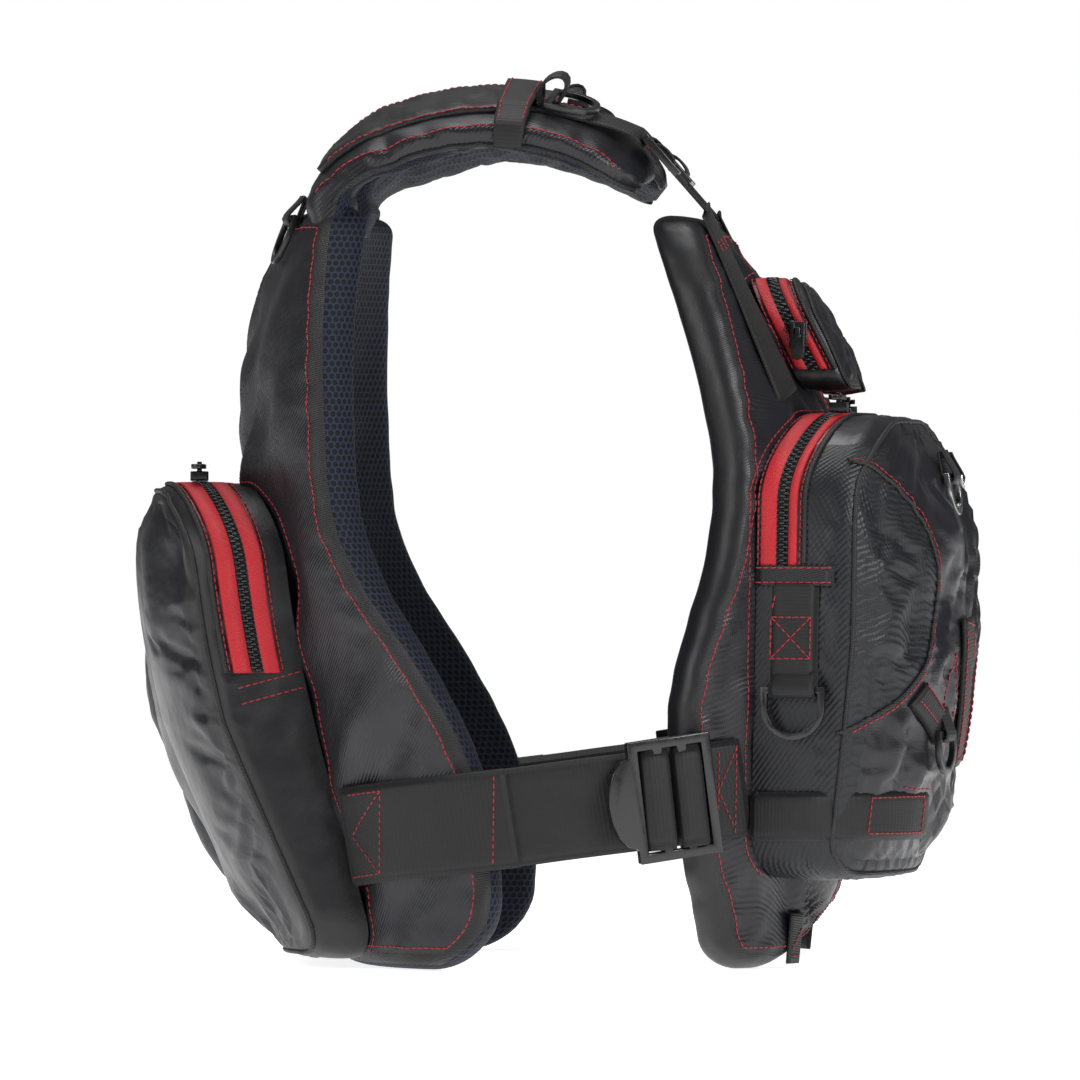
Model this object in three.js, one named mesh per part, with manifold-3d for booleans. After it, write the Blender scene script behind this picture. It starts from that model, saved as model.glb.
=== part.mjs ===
// A fishing life jacket: foam panels in fabric shells, a zipped back pouch, two front panels with
// zipped pouches, padded shoulders, webbing, rings and strap adjusters.
// Millimetres, +Z up. The wearer faces -Y, so the wearer's right side is at -X.
// The origin is on the floor, under the middle of the jacket's box.
import * as THREE from "three";
import { mergeVertices } from "three/addons/utils/BufferGeometryUtils.js";
import Module from "manifold-3d";

const wasm = await Module();
wasm.setup();

// ---------------------------------------------------------------- driving dimensions

const panelHeight = 388; // hem to the top of the foam panels
const chestWidth = 320; // inside, where the torso is widest
const frontDepth = 128; // inside, middle plane to breastbone
const backDepth = 135; // inside, middle plane to spine
const torsoPower = 2.6; // 2 is an ellipse, higher is boxier

const liningThickness = 3;
const liningMargin = 1.5; // shell edge to lining edge
const foamThickness = 21;
const fabricThickness = 2;
const layerGap = 0.9; // between sewn layers
const seatGap = 0.9; // between a panel and what is sewn on it
const shellThickness = liningThickness + foamThickness + fabricThickness + 2 * layerGap;
const foamMargin = 3.5; // shell edge to foam edge

const webbingThickness = 2;
const beltWidth = 50;
const beltRise = 0.145; // the belt climbs this much per millimetre towards the front
const beltHeight = 86; // middle of the belt, halfway along its front part
const strapWidth = 25;

const zipTapeWidth = 24;
const zipTapeThickness = 1.4;
const frontZipGap = 0.8; // between the two halves of the front zip
const frontZipTape = 15; // width of one half
const frontZipBottom = 52;
const frontZipTop = 292;

const backPouchBottom = 5;
const backPouchTop = 246;
const backPouchGusset = 44;
const backPouchCrown = 15;
const backPouchCorner = 42;
const backZipLow = 150;

const lowerPouchBottom = 46;
const lowerPouchTop = 281;
const lowerPouchNear = 143; // pattern distance from the front zip to the side gusset
const lowerPouchFar = 20; // pattern distance from the front zip to the inner gusset
const lowerPouchGusset = 46;
const lowerPouchCrown = 14;
const lowerPouchCorner = 44;
const lowerZipLow = 205;

const chestPouchBottom = 295;
const chestPouchTop = 351;
const chestPouchFar = 46;
const chestPouchWidth = 46;
const chestPouchGusset = 24;
const chestPouchCrown = 5;
const chestPouchCorner = 20;
const chestZipLow = 306;
const chestSliderAt = 322;
const chestPouchLean = 0.3; // the pouch leans towards the shoulder

const padWidth = 66;
const padThickness = 17;
const padRise = 36; // crown of the shoulder pad above its ends
const padRoll = 0.3; // radians the outer edge of the pad dips
const coverWidth = 44;
const coverThickness = 5;

const ringWire = 3.4;
const ringDepth = 3;
const ringBar = 27; // inside length of a ring's straight bar
const ringDrop = 20; // inside drop of a D-ring
const pinClearance = 0.5; // around a ring's bar in its loop
const loopWall = 1.6;

const adjusterLift = 0.8; // between the waist adjuster and the belt
const adjusterClearance = 1; // from a bar to the end of its webbing
const waistAdjuster = { length: 44, wall: 5, depth: 6, slots: 3, tab: 13 };
const shoulderAdjuster = { length: 24, wall: 3, depth: 4, slots: 2, tab: 4 };

// ---------------------------------------------------------------- torso pattern

// Share of the panel height, then shares of half width, front depth and back depth.
const torsoForm = [
  [0.0, 0.94, 0.88, 0.62],
  [0.15, 0.96, 0.95, 0.73],
  [0.33, 0.98, 1.0, 0.86],
  [0.53, 1.0, 1.0, 0.96],
  [0.71, 1.01, 0.91, 1.0],
  [0.86, 0.99, 0.67, 0.95],
  [1.0, 0.88, 0.43, 0.8],
];

// Smooth value of a column of stations, whose first column is the position.
function smooth(stations, column, position) {
  const last = stations.length - 1;
  const x = Math.min(Math.max(position, stations[0][0]), stations[last][0]);
  let i = 0;
  while (i < last - 1 && x > stations[i + 1][0]) i += 1;
  const slope = (k) => {
    const a = stations[Math.max(k - 1, 0)];
    const b = stations[Math.min(k + 1, last)];
    return (b[column] - a[column]) / (b[0] - a[0]);
  };
  const [p, q] = [stations[i], stations[i + 1]];
  const h = q[0] - p[0];
  const t = (x - p[0]) / h;
  const rest = t * t * (3 - 2 * t);
  return (
    p[column] * (1 - rest) +
    q[column] * rest +
    h * t * (1 - t) * ((1 - t) * slope(i) - t * slope(i + 1))
  );
}

function torsoLevel(z) {
  const share = z / panelHeight;
  return {
    width: (chestWidth / 2) * smooth(torsoForm, 1, share),
    front: frontDepth * smooth(torsoForm, 2, share),
    back: backDepth * smooth(torsoForm, 3, share),
  };
}

const depthAt = (level, angle) => (Math.cos(angle) > 0 ? level.front : level.back);

// Point of a level curve. Angle 0 is the breastbone and a quarter turn is the wearer's right.
function levelPoint(level, angle) {
  const across = Math.abs(Math.sin(angle) / level.width) ** torsoPower;
  const along = Math.abs(Math.cos(angle) / depthAt(level, angle)) ** torsoPower;
  const radius = (across + along) ** (-1 / torsoPower);
  return new THREE.Vector3(-radius * Math.sin(angle), -radius * Math.cos(angle), 0);
}

// Distance round the widest level, which is the pattern's first coordinate, against angle.
const girthSteps = 2880;
const fullLevel = { width: chestWidth / 2, front: frontDepth, back: backDepth };
const girth = [0];
for (let i = 1; i <= girthSteps; i += 1) {
  const a = levelPoint(fullLevel, ((i - 1) * 2 * Math.PI) / girthSteps);
  const b = levelPoint(fullLevel, (i * 2 * Math.PI) / girthSteps);
  girth.push(girth[i - 1] + a.distanceTo(b));
}
const spine = girth[girthSteps / 2]; // pattern distance of the spine from the front zip
const side = girth[girthSteps / 4]; // pattern distance of the wearer's side

function angleAt(around) {
  let low = 0;
  let high = girthSteps;
  while (high - low > 1) {
    const mid = (low + high) >> 1;
    if (girth[mid] > around) high = mid;
    else low = mid;
  }
  const share = (around - girth[low]) / (girth[high] - girth[low]);
  return ((low + share) * 2 * Math.PI) / girthSteps;
}

const pouchSplay = 0.25; // how far a pouch's gusset leans sideways instead of straight out

// Pattern point (distance round from the front zip, height, distance out) in space. Beyond the
// shell a pouch stands straight out from the chest or the back, and webbing follows the torso.
function onTorso(around, z, out, pouch = false) {
  const level = torsoLevel(z);
  const angle = angleAt(around);
  const point = levelPoint(level, angle);
  const depth = depthAt(level, angle);
  const steep = torsoPower - 1;
  const normal = new THREE.Vector3(
    (Math.sign(point.x) * Math.abs(point.x / level.width) ** steep) / level.width,
    (Math.sign(point.y) * Math.abs(point.y / depth) ** steep) / depth,
    0,
  ).normalize();
  const shell = pouch ? Math.min(out, shellThickness) : out;
  point.addScaledVector(normal, shell).setZ(z);
  normal.x *= pouchSplay;
  return point.addScaledVector(normal.normalize(), out - shell);
}

// Placement on the pattern: X runs round the torso, Y out of it and Z up along it.
function placeOn(around, z, out, pouch = false) {
  const step = 1;
  const origin = onTorso(around, z, out, pouch);
  const x = onTorso(around + step, z, out, pouch).sub(onTorso(around - step, z, out, pouch));
  const up = onTorso(around, z + step, out, pouch).sub(onTorso(around, z - step, out, pouch));
  x.normalize();
  const y = up.cross(x).normalize();
  return new THREE.Matrix4().makeBasis(x, y, x.clone().cross(y)).setPosition(origin);
}

// Placement on a pouch's side: X runs in towards the panel and Y out of the side. Z runs straight
// up, or along the side where its lean (distance round gained per height) is given.
function placeOnGusset(around, z, out, lean = null) {
  const origin = onTorso(around, z, out, true);
  const x = onTorso(around, z, out - 1, true).sub(origin).normalize();
  const up = new THREE.Vector3(0, 0, 1);
  if (lean !== null) up.copy(onTorso(around + lean, z + 1, out, true)).sub(origin).normalize();
  const y = up.clone().cross(x).normalize();
  return new THREE.Matrix4().makeBasis(x, y, x.clone().cross(y)).setPosition(origin);
}

// ---------------------------------------------------------------- solid builders

function facingOut(points, triangles) {
  const volume = triangles.reduce((sum, [a, b, c]) => {
    return sum + points[a].dot(points[b].clone().cross(points[c]));
  }, 0);
  const index = triangles.flatMap(([a, b, c]) => (volume < 0 ? [a, c, b] : [a, b, c]));
  const geometry = new THREE.BufferGeometry().setFromPoints(points);
  geometry.setIndex(index);
  return geometry;
}

// A slab between two grids of points of the same size.
function slab(outer, inner) {
  const rows = outer.length;
  const columns = outer[0].length;
  const points = [...outer.flat(), ...inner.flat()];
  const under = rows * columns;
  const triangles = [];
  const quad = (a, b, c, d) => triangles.push([a, b, c], [a, c, d]);
  for (let i = 0; i < rows - 1; i += 1) {
    for (let j = 0; j < columns - 1; j += 1) {
      const k = i * columns + j;
      quad(k, k + 1, k + columns + 1, k + columns);
      quad(under + k, under + k + columns, under + k + columns + 1, under + k + 1);
    }
  }
  const rim = [];
  for (let j = 0; j < columns - 1; j += 1) rim.push(j);
  for (let i = 0; i < rows - 1; i += 1) rim.push(i * columns + columns - 1);
  for (let j = columns - 1; j > 0; j -= 1) rim.push((rows - 1) * columns + j);
  for (let i = rows - 1; i > 0; i -= 1) rim.push(i * columns);
  rim.forEach((p, n) => {
    const q = rim[(n + 1) % rim.length];
    quad(q, p, under + p, under + q);
  });
  return facingOut(points, triangles);
}

// A solid through a row of closed sections with as many points each.
function loft(sections) {
  const count = sections[0].length;
  const last = (sections.length - 1) * count;
  const triangles = [];
  for (let s = 0; s < last; s += count) {
    for (let i = 0; i < count; i += 1) {
      const j = (i + 1) % count;
      triangles.push([s + i, s + j, s + count + j], [s + i, s + count + j, s + count + i]);
    }
  }
  for (let i = 1; i < count - 1; i += 1) {
    triangles.push([0, i + 1, i], [last, last + i, last + i + 1]);
  }
  return facingOut(sections.flat(), triangles);
}

function solidOf(geometry) {
  const bare = geometry.clone();
  bare.deleteAttribute("normal");
  bare.deleteAttribute("uv");
  const merged = mergeVertices(bare, 1e-4);
  const mesh = new wasm.Mesh({
    numProp: 3,
    vertProperties: merged.attributes.position.array,
    triVerts: new Uint32Array(merged.index.array),
  });
  return new wasm.Manifold(mesh);
}

function geometryOf(solid) {
  const mesh = solid.getMesh();
  const geometry = new THREE.BufferGeometry();
  geometry.setAttribute("position", new THREE.BufferAttribute(mesh.vertProperties, 3));
  geometry.setIndex(new THREE.BufferAttribute(mesh.triVerts, 1));
  return geometry;
}

const joined = (first, ...others) =>
  geometryOf(others.reduce((sum, other) => sum.add(solidOf(other)), solidOf(first)));
const cut = (first, second) => geometryOf(solidOf(first).subtract(solidOf(second)));
const placed = (geometry, matrix) => geometry.clone().applyMatrix4(matrix);

// ---------------------------------------------------------------- pattern pieces

const cornerSteps = 3;
const leastColumn = 3;

// How far a corner of this radius pulls an edge in, at a height above the corner's end.
function cornerInset(height, radius) {
  const reach = radius - Math.min(Math.max(height, 0), radius);
  return radius - Math.sqrt(radius * radius - reach * reach);
}

// Heights of the rows of a piece with round corners at its foot and its top.
function rowHeights(low, high, footCorner, topCorner, count) {
  const heights = [];
  for (let i = 0; i < cornerSteps; i += 1) {
    heights.push(low + footCorner * (1 - Math.cos((i * Math.PI) / 2 / cornerSteps)));
  }
  const [from, to] = [low + footCorner, high - topCorner];
  for (let i = 0; i <= count; i += 1) heights.push(from + ((to - from) * i) / count);
  for (let i = cornerSteps - 1; i >= 0; i -= 1) {
    heights.push(high - topCorner * (1 - Math.cos((i * Math.PI) / 2 / cornerSteps)));
  }
  return heights;
}

// A sewn piece between two distances out from the torso. Its edges and its span are functions of
// height. Columns are spaced over the span and kept inside the edges, so that layers with
// different margins share all but their outermost columns.
function patternPiece({ heights, edges, span = edges, columns, inner, outer, pouch = false }) {
  const low = heights[0];
  const high = heights[heights.length - 1];
  const grid = (out) =>
    heights.map((z) => {
      const [from, to] = edges(z);
      const [start, end] = span(z);
      const narrowest = Math.min(leastColumn, (to - from) / columns);
      return Array.from({ length: columns + 1 }, (_, j) => {
        const share = j / columns;
        const least = from + j * narrowest;
        const most = to - (columns - j) * narrowest;
        const around = Math.min(Math.max(start + (end - start) * share, least), most);
        const distance = typeof out === "number" ? out : out(share, (z - low) / (high - low));
        return onTorso(around, z, distance, pouch);
      });
    });
  return slab(grid(outer), grid(inner));
}

// Lining, foam and shell of one panel.
function panelLayers({ low, high, edges, footCorner, footBoth, topCorner, rows, columns }) {
  const rounded = (margin) => (z) => {
    const [from, to] = edges(z);
    const foot = cornerInset(z - low - margin, footCorner - margin);
    const top = cornerInset(high - margin - z, topCorner - margin);
    return [from + margin + top + (footBoth ? foot : 0), to - margin - foot - top];
  };
  const layer = (margin, inner, outer) =>
    patternPiece({
      heights: rowHeights(
        low + margin,
        high - margin,
        footCorner - margin,
        topCorner - margin,
        rows,
      ),
      edges: rounded(margin),
      span: edges,
      columns,
      inner,
      outer,
    });
  const foamIn = liningThickness + layerGap;
  const foamOut = foamIn + foamThickness;
  const hollow = layer(fabricThickness, 0, foamOut + layerGap);
  return {
    lining: layer(liningMargin, 0, liningThickness),
    foam: layer(foamMargin, foamIn, foamOut),
    shell: cut(layer(0, foamIn, shellThickness), hollow),
  };
}

// A soft box on a panel: a gusset all round and a crowned face.
function pouchShape({ low, high, edges, corner, gusset, crown, footShare, rows, columns }) {
  const foot = shellThickness + seatGap;
  const rounded = (z) => {
    const [from, to] = edges(z);
    const inset = cornerInset(high - z, corner) + cornerInset(z - low, corner / 2);
    return [from + inset, to - inset];
  };
  const swell = (share) => 1 - (2 * share - 1) ** 4;
  const depth = (up) => gusset * (footShare + (1 - footShare) * Math.min(1, 2 * up));
  const face = (share, up) => foot + depth(up) + crown * swell(share) * swell(up);
  const heights = rowHeights(low, high, corner / 2, corner, rows);
  return { heights, edges: rounded, span: edges, columns, inner: foot, outer: face, pouch: true };
}

// The pouch's outline from one height on its far-round edge, over the top, to the other edge.
function outlineOver({ heights, edges, columns }, start) {
  const climb = heights.filter((z) => z > start);
  const up = [start, ...climb].map((z) => [edges(z)[1], z]);
  const down = [start, ...climb].reverse().map((z) => [edges(z)[0], z]);
  const [from, to] = edges(climb[climb.length - 1]);
  const top = climb[climb.length - 1];
  const over = [];
  for (let j = columns - 1; j > 0; j -= 1) over.push([from + ((to - from) * j) / columns, top]);
  return [...up, ...over, ...down];
}

// A tape lying on the gusset of a pouch, along part of its outline.
function gussetTape(path, gap, thickness, near, far) {
  const sections = path.map(([around, z], i) => {
    const before = path[Math.max(i - 1, 0)];
    const after = path[Math.min(i + 1, path.length - 1)];
    const normal = new THREE.Vector2(after[1] - before[1], before[0] - after[0]).normalize();
    const corner = (lift, out) =>
      onTorso(around + normal.x * lift, z + normal.y * lift, out, true);
    const outside = gap + thickness;
    return [corner(gap, near), corner(outside, near), corner(outside, far), corner(gap, far)];
  });
  return loft(sections);
}

// Webbing lying on the pattern along a path of (distance round, height).
function webbing(path, width, inner, thickness) {
  const grid = (out) =>
    path.map(([around, z], i) => {
      const before = path[Math.max(i - 1, 0)];
      const after = path[Math.min(i + 1, path.length - 1)];
      const across = new THREE.Vector2(before[1] - after[1], after[0] - before[0]).normalize();
      return [-0.5, 0, 0.5].map((share) => {
        const shift = share * width;
        return onTorso(around + across.x * shift, z + across.y * shift, out);
      });
    });
  return slab(grid(inner + thickness), grid(inner));
}

// ---------------------------------------------------------------- hardware

const ringArcSteps = 4;

// A D-ring that hangs from its straight bar, whose axis is the local X axis.
function ringGeometry(bar = ringBar, drop = ringDrop) {
  const reach = bar / 2;
  const shoulder = drop * 0.35;
  const outline = (grow, shape) => {
    const half = ringWire / 2;
    const [x, top] = [reach + grow * ringWire, grow ? half : -half];
    shape.moveTo(-x, top);
    shape.lineTo(-x, -half - shoulder);
    shape.absellipse(0, -half - shoulder, x, drop - shoulder + grow * ringWire, Math.PI, 2 * Math.PI);
    shape.lineTo(x, top);
    return shape;
  };
  const shape = outline(1, new THREE.Shape());
  shape.holes.push(outline(0, new THREE.Path()));
  const ring = new THREE.ExtrudeGeometry(shape, {
    depth: ringDepth,
    bevelEnabled: false,
    curveSegments: 2 * ringArcSteps,
  });
  // The outline is drawn in X and Y, and hangs in X and Z.
  return ring.translate(0, 0, -ringDepth / 2).rotateX(Math.PI / 2);
}

const loopBore = Math.hypot(ringWire, ringDepth) / 2 + pinClearance;
const loopRadius = loopBore + loopWall;
const loopSeat = 0.6; // how far a sewn loop sinks into its fabric

// A folded webbing loop round a ring's bar. The bar's axis is X, and Y points out of the panel.
function loopGeometry(width, tail) {
  const shape = new THREE.Shape();
  shape.moveTo(-loopRadius, tail);
  shape.lineTo(-loopRadius, 0);
  shape.absarc(0, 0, loopRadius, Math.PI, 2 * Math.PI);
  shape.lineTo(-loopRadius + webbingThickness, tail);
  const hole = new THREE.Path();
  hole.absarc(0, 0, loopBore, 0, 2 * Math.PI);
  shape.holes.push(hole);
  const loop = new THREE.ExtrudeGeometry(shape, {
    depth: width,
    bevelEnabled: false,
    curveSegments: ringArcSteps,
  });
  // The side profile is drawn with X out of the panel and Y up it.
  const turn = new THREE.Matrix4().makeBasis(
    new THREE.Vector3(0, 1, 0),
    new THREE.Vector3(0, 0, 1),
    new THREE.Vector3(1, 0, 0),
  );
  return loop.translate(0, 0, -width / 2).applyMatrix4(turn);
}

// A strap adjuster: a frame with bars between its slots and a thumb tab. It tilts about the bar at
// local X 0, its webbing lies along X, and its tab is at the X end.
function adjusterGeometry(webbingWidth, { length, wall, depth, slots, tab }) {
  const half = webbingWidth / 2 + wall + 1;
  const shape = new THREE.Shape();
  shape.moveTo(0, -half);
  shape.lineTo(length, -half);
  shape.absellipse(length, 0, tab, half * 0.75, -Math.PI / 2, Math.PI / 2);
  shape.lineTo(length, half);
  shape.lineTo(0, half);
  let frame = new THREE.ExtrudeGeometry(shape, {
    depth,
    bevelEnabled: false,
    curveSegments: ringArcSteps,
  });
  const slot = (length - (slots + 1) * wall) / slots;
  for (let i = 0; i < slots; i += 1) {
    const hole = new THREE.BoxGeometry(slot, 2 * (half - wall), 3 * depth);
    frame = cut(frame, hole.translate(wall + slot / 2 + i * (slot + wall), 0, 0));
  }
  return frame.rotateX(-Math.PI / 2);
}

const sliderLength = 13;
const sliderWidth = 9;
const sliderHeight = 5;
const pullWidth = 7;
const pullLength = 26;
const shortPullLength = 17;
const pullThickness = 2.4;
const pullEye = 2.4; // height of the pull's pin above the slider

// A zip slider with its bridge. It travels along local Z and stands out along Y.
function sliderGeometry() {
  const body = new THREE.BoxGeometry(sliderWidth, sliderHeight, sliderLength);
  body.translate(0, sliderHeight / 2, 0);
  const bridge = new THREE.BoxGeometry(2.4, 6, 5);
  bridge.translate(0, sliderHeight + 2, 0);
  return joined(body, bridge);
}

// A zip pull that hangs along -Z from a fork at its origin, whose axis is X.
function pullGeometry(length = pullLength) {
  const shape = new THREE.Shape();
  const half = pullWidth / 2;
  const gap = 1.7;
  shape.moveTo(-half, 2);
  shape.lineTo(-half, -length + half);
  shape.absarc(0, -length + half, half, Math.PI, 2 * Math.PI);
  shape.lineTo(half, 2);
  shape.lineTo(gap, 2);
  shape.lineTo(gap, -4);
  shape.lineTo(-gap, -4);
  shape.lineTo(-gap, 2);
  const pull = new THREE.ExtrudeGeometry(shape, {
    depth: pullThickness,
    bevelEnabled: false,
    curveSegments: ringArcSteps,
  });
  return pull.translate(0, 0, -pullThickness / 2).rotateX(Math.PI / 2);
}

// A slider whose pull is moulded on, for the pouches.
function taggedSliderGeometry(length = pullLength) {
  const tag = pullGeometry(length).translate(0, sliderHeight + pullThickness, 3);
  return joined(sliderGeometry(), tag);
}

// ---------------------------------------------------------------- materials

const finish = (color, roughness, metalness = 0) =>
  new THREE.MeshStandardMaterial({ color, roughness, metalness });
const shellFabric = finish(0x26262b, 0.55);
const pouchFabric = finish(0x232328, 0.5);
const meshLining = finish(0x14161c, 0.9);
const foam = finish(0xd9d6cc, 0.95);
const blackWebbing = finish(0x1d1d1f, 0.8);
const redTape = finish(0xc8202c, 0.6);
const blackPlastic = finish(0x17181a, 0.35);
const darkMetal = finish(0x3a3b3e, 0.3, 1);

function part(name, geometry, material) {
  const mesh = new THREE.Mesh(geometry, material);
  mesh.name = name;
  return mesh;
}

function partAt(name, geometry, material, matrix) {
  const mesh = part(name, geometry, material);
  matrix.decompose(mesh.position, mesh.quaternion, mesh.scale);
  return mesh;
}

// ---------------------------------------------------------------- back panel

const backHalfWidth = [
  [0.0, 214],
  [0.09, 223],
  [0.17, 220],
  [0.26, 214],
  [0.33, 203],
  [0.42, 184],
  [0.5, 164],
  [0.59, 149],
  [0.74, 144],
  [0.87, 140],
  [1.0, 126],
];

function backPanel() {
  const edges = (z) => {
    const half = smooth(backHalfWidth, 1, z / panelHeight);
    return [spine - half, spine + half];
  };
  return panelLayers({
    low: 0,
    high: panelHeight,
    edges,
    footCorner: 26,
    footBoth: true,
    topCorner: 12,
    rows: 8,
    columns: 20,
  });
}

// ---------------------------------------------------------------- back pouch

const backPouchWidths = [
  [0, 168],
  [70, 146],
  [120, 131],
  [170, 120],
  [246, 112],
];

function backPouch() {
  const edges = (z) => {
    const half = smooth(backPouchWidths, 1, z);
    return [spine - half, spine + half];
  };
  return pouchShape({
    low: backPouchBottom,
    high: backPouchTop,
    edges,
    corner: backPouchCorner,
    gusset: backPouchGusset,
    crown: backPouchCrown,
    footShare: 0.55,
    rows: 6,
    columns: 14,
  });
}

// ---------------------------------------------------------------- shoulder pad

const rootAround = spine - 92;
const tipAround = 150;
const padGap = 0.6;
const padSteps = 14;
// Share of the way from the root to the tip, and share of the rise.
const padArch = [
  [0.0, 0.0],
  [0.02, 0.3],
  [0.14, 0.74],
  [0.38, 1.0],
  [0.62, 0.94],
  [0.85, 0.55],
  [1.0, 0.0],
];

const padRoot = onTorso(rootAround, panelHeight + padGap, shellThickness / 2);
const padTip = onTorso(tipAround, panelHeight, shellThickness).add(new THREE.Vector3(-2, 27, 13));
const padCurve = new THREE.CatmullRomCurve3(
  padArch.map(([share, rise]) => {
    const point = padRoot.clone().lerp(padTip, share);
    return point.setZ(point.z + rise * padRise);
  }),
);

// Point of the shoulder: a share of the pad's length, then across it and above its middle.
function onShoulder(share, across, above) {
  const point = padCurve.getPointAt(share);
  const tangent = share > 0 ? padCurve.getTangentAt(share) : new THREE.Vector3(0, 0, 1);
  const flat = new THREE.Vector3(1, 0, 0);
  flat.addScaledVector(tangent, -tangent.x).normalize();
  const up = tangent.clone().cross(flat);
  const roll = padRoll * Math.min(1, 4 * share);
  const inward = flat.clone().multiplyScalar(Math.cos(roll)).addScaledVector(up, Math.sin(roll));
  up.multiplyScalar(Math.cos(roll)).addScaledVector(flat, -Math.sin(roll));
  return point.addScaledVector(inward, across).addScaledVector(up, above);
}

function shoulderPad() {
  const sections = [];
  const tipRound = 0.16;
  for (let i = 0; i <= padSteps; i += 1) {
    const share = i / padSteps;
    const near = Math.max(0, share - (1 - tipRound)) / tipRound;
    const half = (padWidth / 2) * Math.sqrt(1 - 0.85 * near * near);
    const thick = (padThickness / 2) * (1 - 0.35 * near * near);
    const round = thick * 0.6;
    const profile = [
      [-half, -thick + round],
      [-half + round, -thick],
      [half - round, -thick],
      [half, -thick + round],
      [half, thick - round],
      [half - round, thick],
      [-half + round, thick],
      [-half, thick - round],
    ];
    sections.push(profile.map(([across, above]) => onShoulder(share, across, above)));
  }
  return loft(sections);
}

// A strip on the shoulder between two shares of its length.
function shoulderStrip(from, to, steps, width, across, inner, thickness) {
  const sections = [];
  for (let i = 0; i <= steps; i += 1) {
    const share = from + ((to - from) * i) / steps;
    const lift = typeof inner === "number" ? inner : inner(share);
    const [low, high] = [across - width / 2, across + width / 2];
    sections.push([
      onShoulder(share, low, lift),
      onShoulder(share, high, lift),
      onShoulder(share, high, lift + thickness),
      onShoulder(share, low, lift + thickness),
    ]);
  }
  return loft(sections);
}

// Placement on the shoulder: X across it, Y out of it and Z back along it.
function placeOnShoulder(share, across, above) {
  const step = 0.01;
  const origin = onShoulder(share, across, above);
  const z = onShoulder(share - step, across, above).sub(onShoulder(share + step, across, above));
  const x = onShoulder(share, across - 1, above).sub(onShoulder(share, across + 1, above));
  z.normalize();
  const y = z.clone().cross(x).normalize();
  return new THREE.Matrix4().makeBasis(y.clone().cross(z), y, z).setPosition(origin);
}

const coverInner = padThickness / 2 + padGap;
const coverEnd = 0.6;
const shoulderRingShare = 0.68;
const shoulderRingAcross = 6;
const shoulderWebbingEnd = 0.9;

function shoulderCover() {
  return shoulderStrip(0.1, coverEnd, 8, coverWidth, shoulderRingAcross, coverInner, coverThickness);
}

const shoulderWebbingRise = 6;

// How far the shoulder webbing lies above the pad's middle: it rises off the pad to the adjuster.
function shoulderWebbingLift(share) {
  const free = Math.max(0, share - shoulderRingShare) / (shoulderWebbingEnd - shoulderRingShare);
  return coverInner + shoulderWebbingRise * free * free;
}

function shoulderWebbing() {
  const strip = shoulderStrip(
    coverEnd + 0.02,
    shoulderWebbingEnd,
    6,
    strapWidth,
    shoulderRingAcross,
    shoulderWebbingLift,
    webbingThickness,
  );
  return joined(strip, placed(loopGeometry(ringBar - 8, 6), shoulderRingPlace()));
}

const shoulderRingPlace = () =>
  placeOnShoulder(
    shoulderRingShare,
    shoulderRingAcross,
    coverInner + webbingThickness + loopRadius - loopSeat,
  );

// ---------------------------------------------------------------- front panel

const frontOuterEdge = [
  [0.0, 152],
  [0.08, 160],
  [0.16, 168],
  [0.31, 176],
  [0.38, 174],
  [0.46, 166],
  [0.54, 157],
  [0.65, 152],
  [0.74, 156],
  [0.83, 161],
  [0.92, 166],
  [1.0, 166],
];
const frontInnerEdge = [
  [0.0, 122],
  [0.03, 98],
  [0.065, 68],
  [0.12, 12],
  [0.14, 9],
  [0.5, 9],
  [0.76, 9],
  [0.82, 18],
  [0.88, 38],
  [0.94, 72],
  [1.0, 104],
];
const frontTop = panelHeight - 4;

function frontPanel() {
  return panelLayers({
    low: 0,
    high: frontTop,
    edges: (z) => [
      smooth(frontInnerEdge, 1, z / panelHeight),
      smooth(frontOuterEdge, 1, z / panelHeight),
    ],
    footCorner: 18,
    footBoth: false,
    topCorner: 10,
    rows: 10,
    columns: 7,
  });
}

function frontZipHalf() {
  const inner = shellThickness + seatGap;
  return patternPiece({
    heights: rowHeights(frontZipBottom, frontZipTop, 0.1, 0.1, 8),
    edges: () => [frontZipGap / 2, frontZipTape],
    columns: 1,
    inner,
    outer: inner + zipTapeThickness,
  });
}

// ---------------------------------------------------------------- front pouches

function lowerPouch() {
  return pouchShape({
    low: lowerPouchBottom,
    high: lowerPouchTop,
    edges: () => [lowerPouchFar, lowerPouchNear],
    corner: lowerPouchCorner,
    gusset: lowerPouchGusset,
    crown: lowerPouchCrown,
    footShare: 0.8,
    rows: 6,
    columns: 8,
  });
}

function chestPouch() {
  return pouchShape({
    low: chestPouchBottom,
    high: chestPouchTop,
    edges: (z) => {
      const from = chestPouchFar + chestPouchLean * (z - chestPouchBottom);
      return [from, from + chestPouchWidth];
    },
    corner: chestPouchCorner,
    gusset: chestPouchGusset,
    crown: chestPouchCrown,
    footShare: 0.9,
    rows: 3,
    columns: 5,
  });
}

const lowerTapeInner = shellThickness + seatGap + 3;
const backTapeInner = shellThickness + seatGap + 12;
const chestTapeInner = shellThickness + seatGap + 2;
const chestTapeWidth = 20;
const tapeGap = 0.5;

// ---------------------------------------------------------------- webbing on the front panel

const beltSplit = side - 3; // where the side belt bends when the front opens
const beltSplitGap = 1.2;
const beltInner = shellThickness + seatGap;
const beltMiddle = (around) => beltHeight - beltRise * (around - 196);

function beltPath(from, to, steps) {
  return Array.from({ length: steps + 1 }, (_, i) => {
    const around = from + ((to - from) * i) / steps;
    return [around, beltMiddle(around)];
  });
}

const frontBeltEnd = lowerPouchNear + 4;
const backBeltEnd = spine - 152;

// Chest webbing from over the panel's top down to the lower pouch.
const chestWebbingPath = [
  [147, frontTop + 3],
  [141, frontTop - 12],
  [136, frontTop - 30],
  [130, frontTop - 50],
  [123, frontTop - 72],
  [116, frontTop - 92],
];

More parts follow.
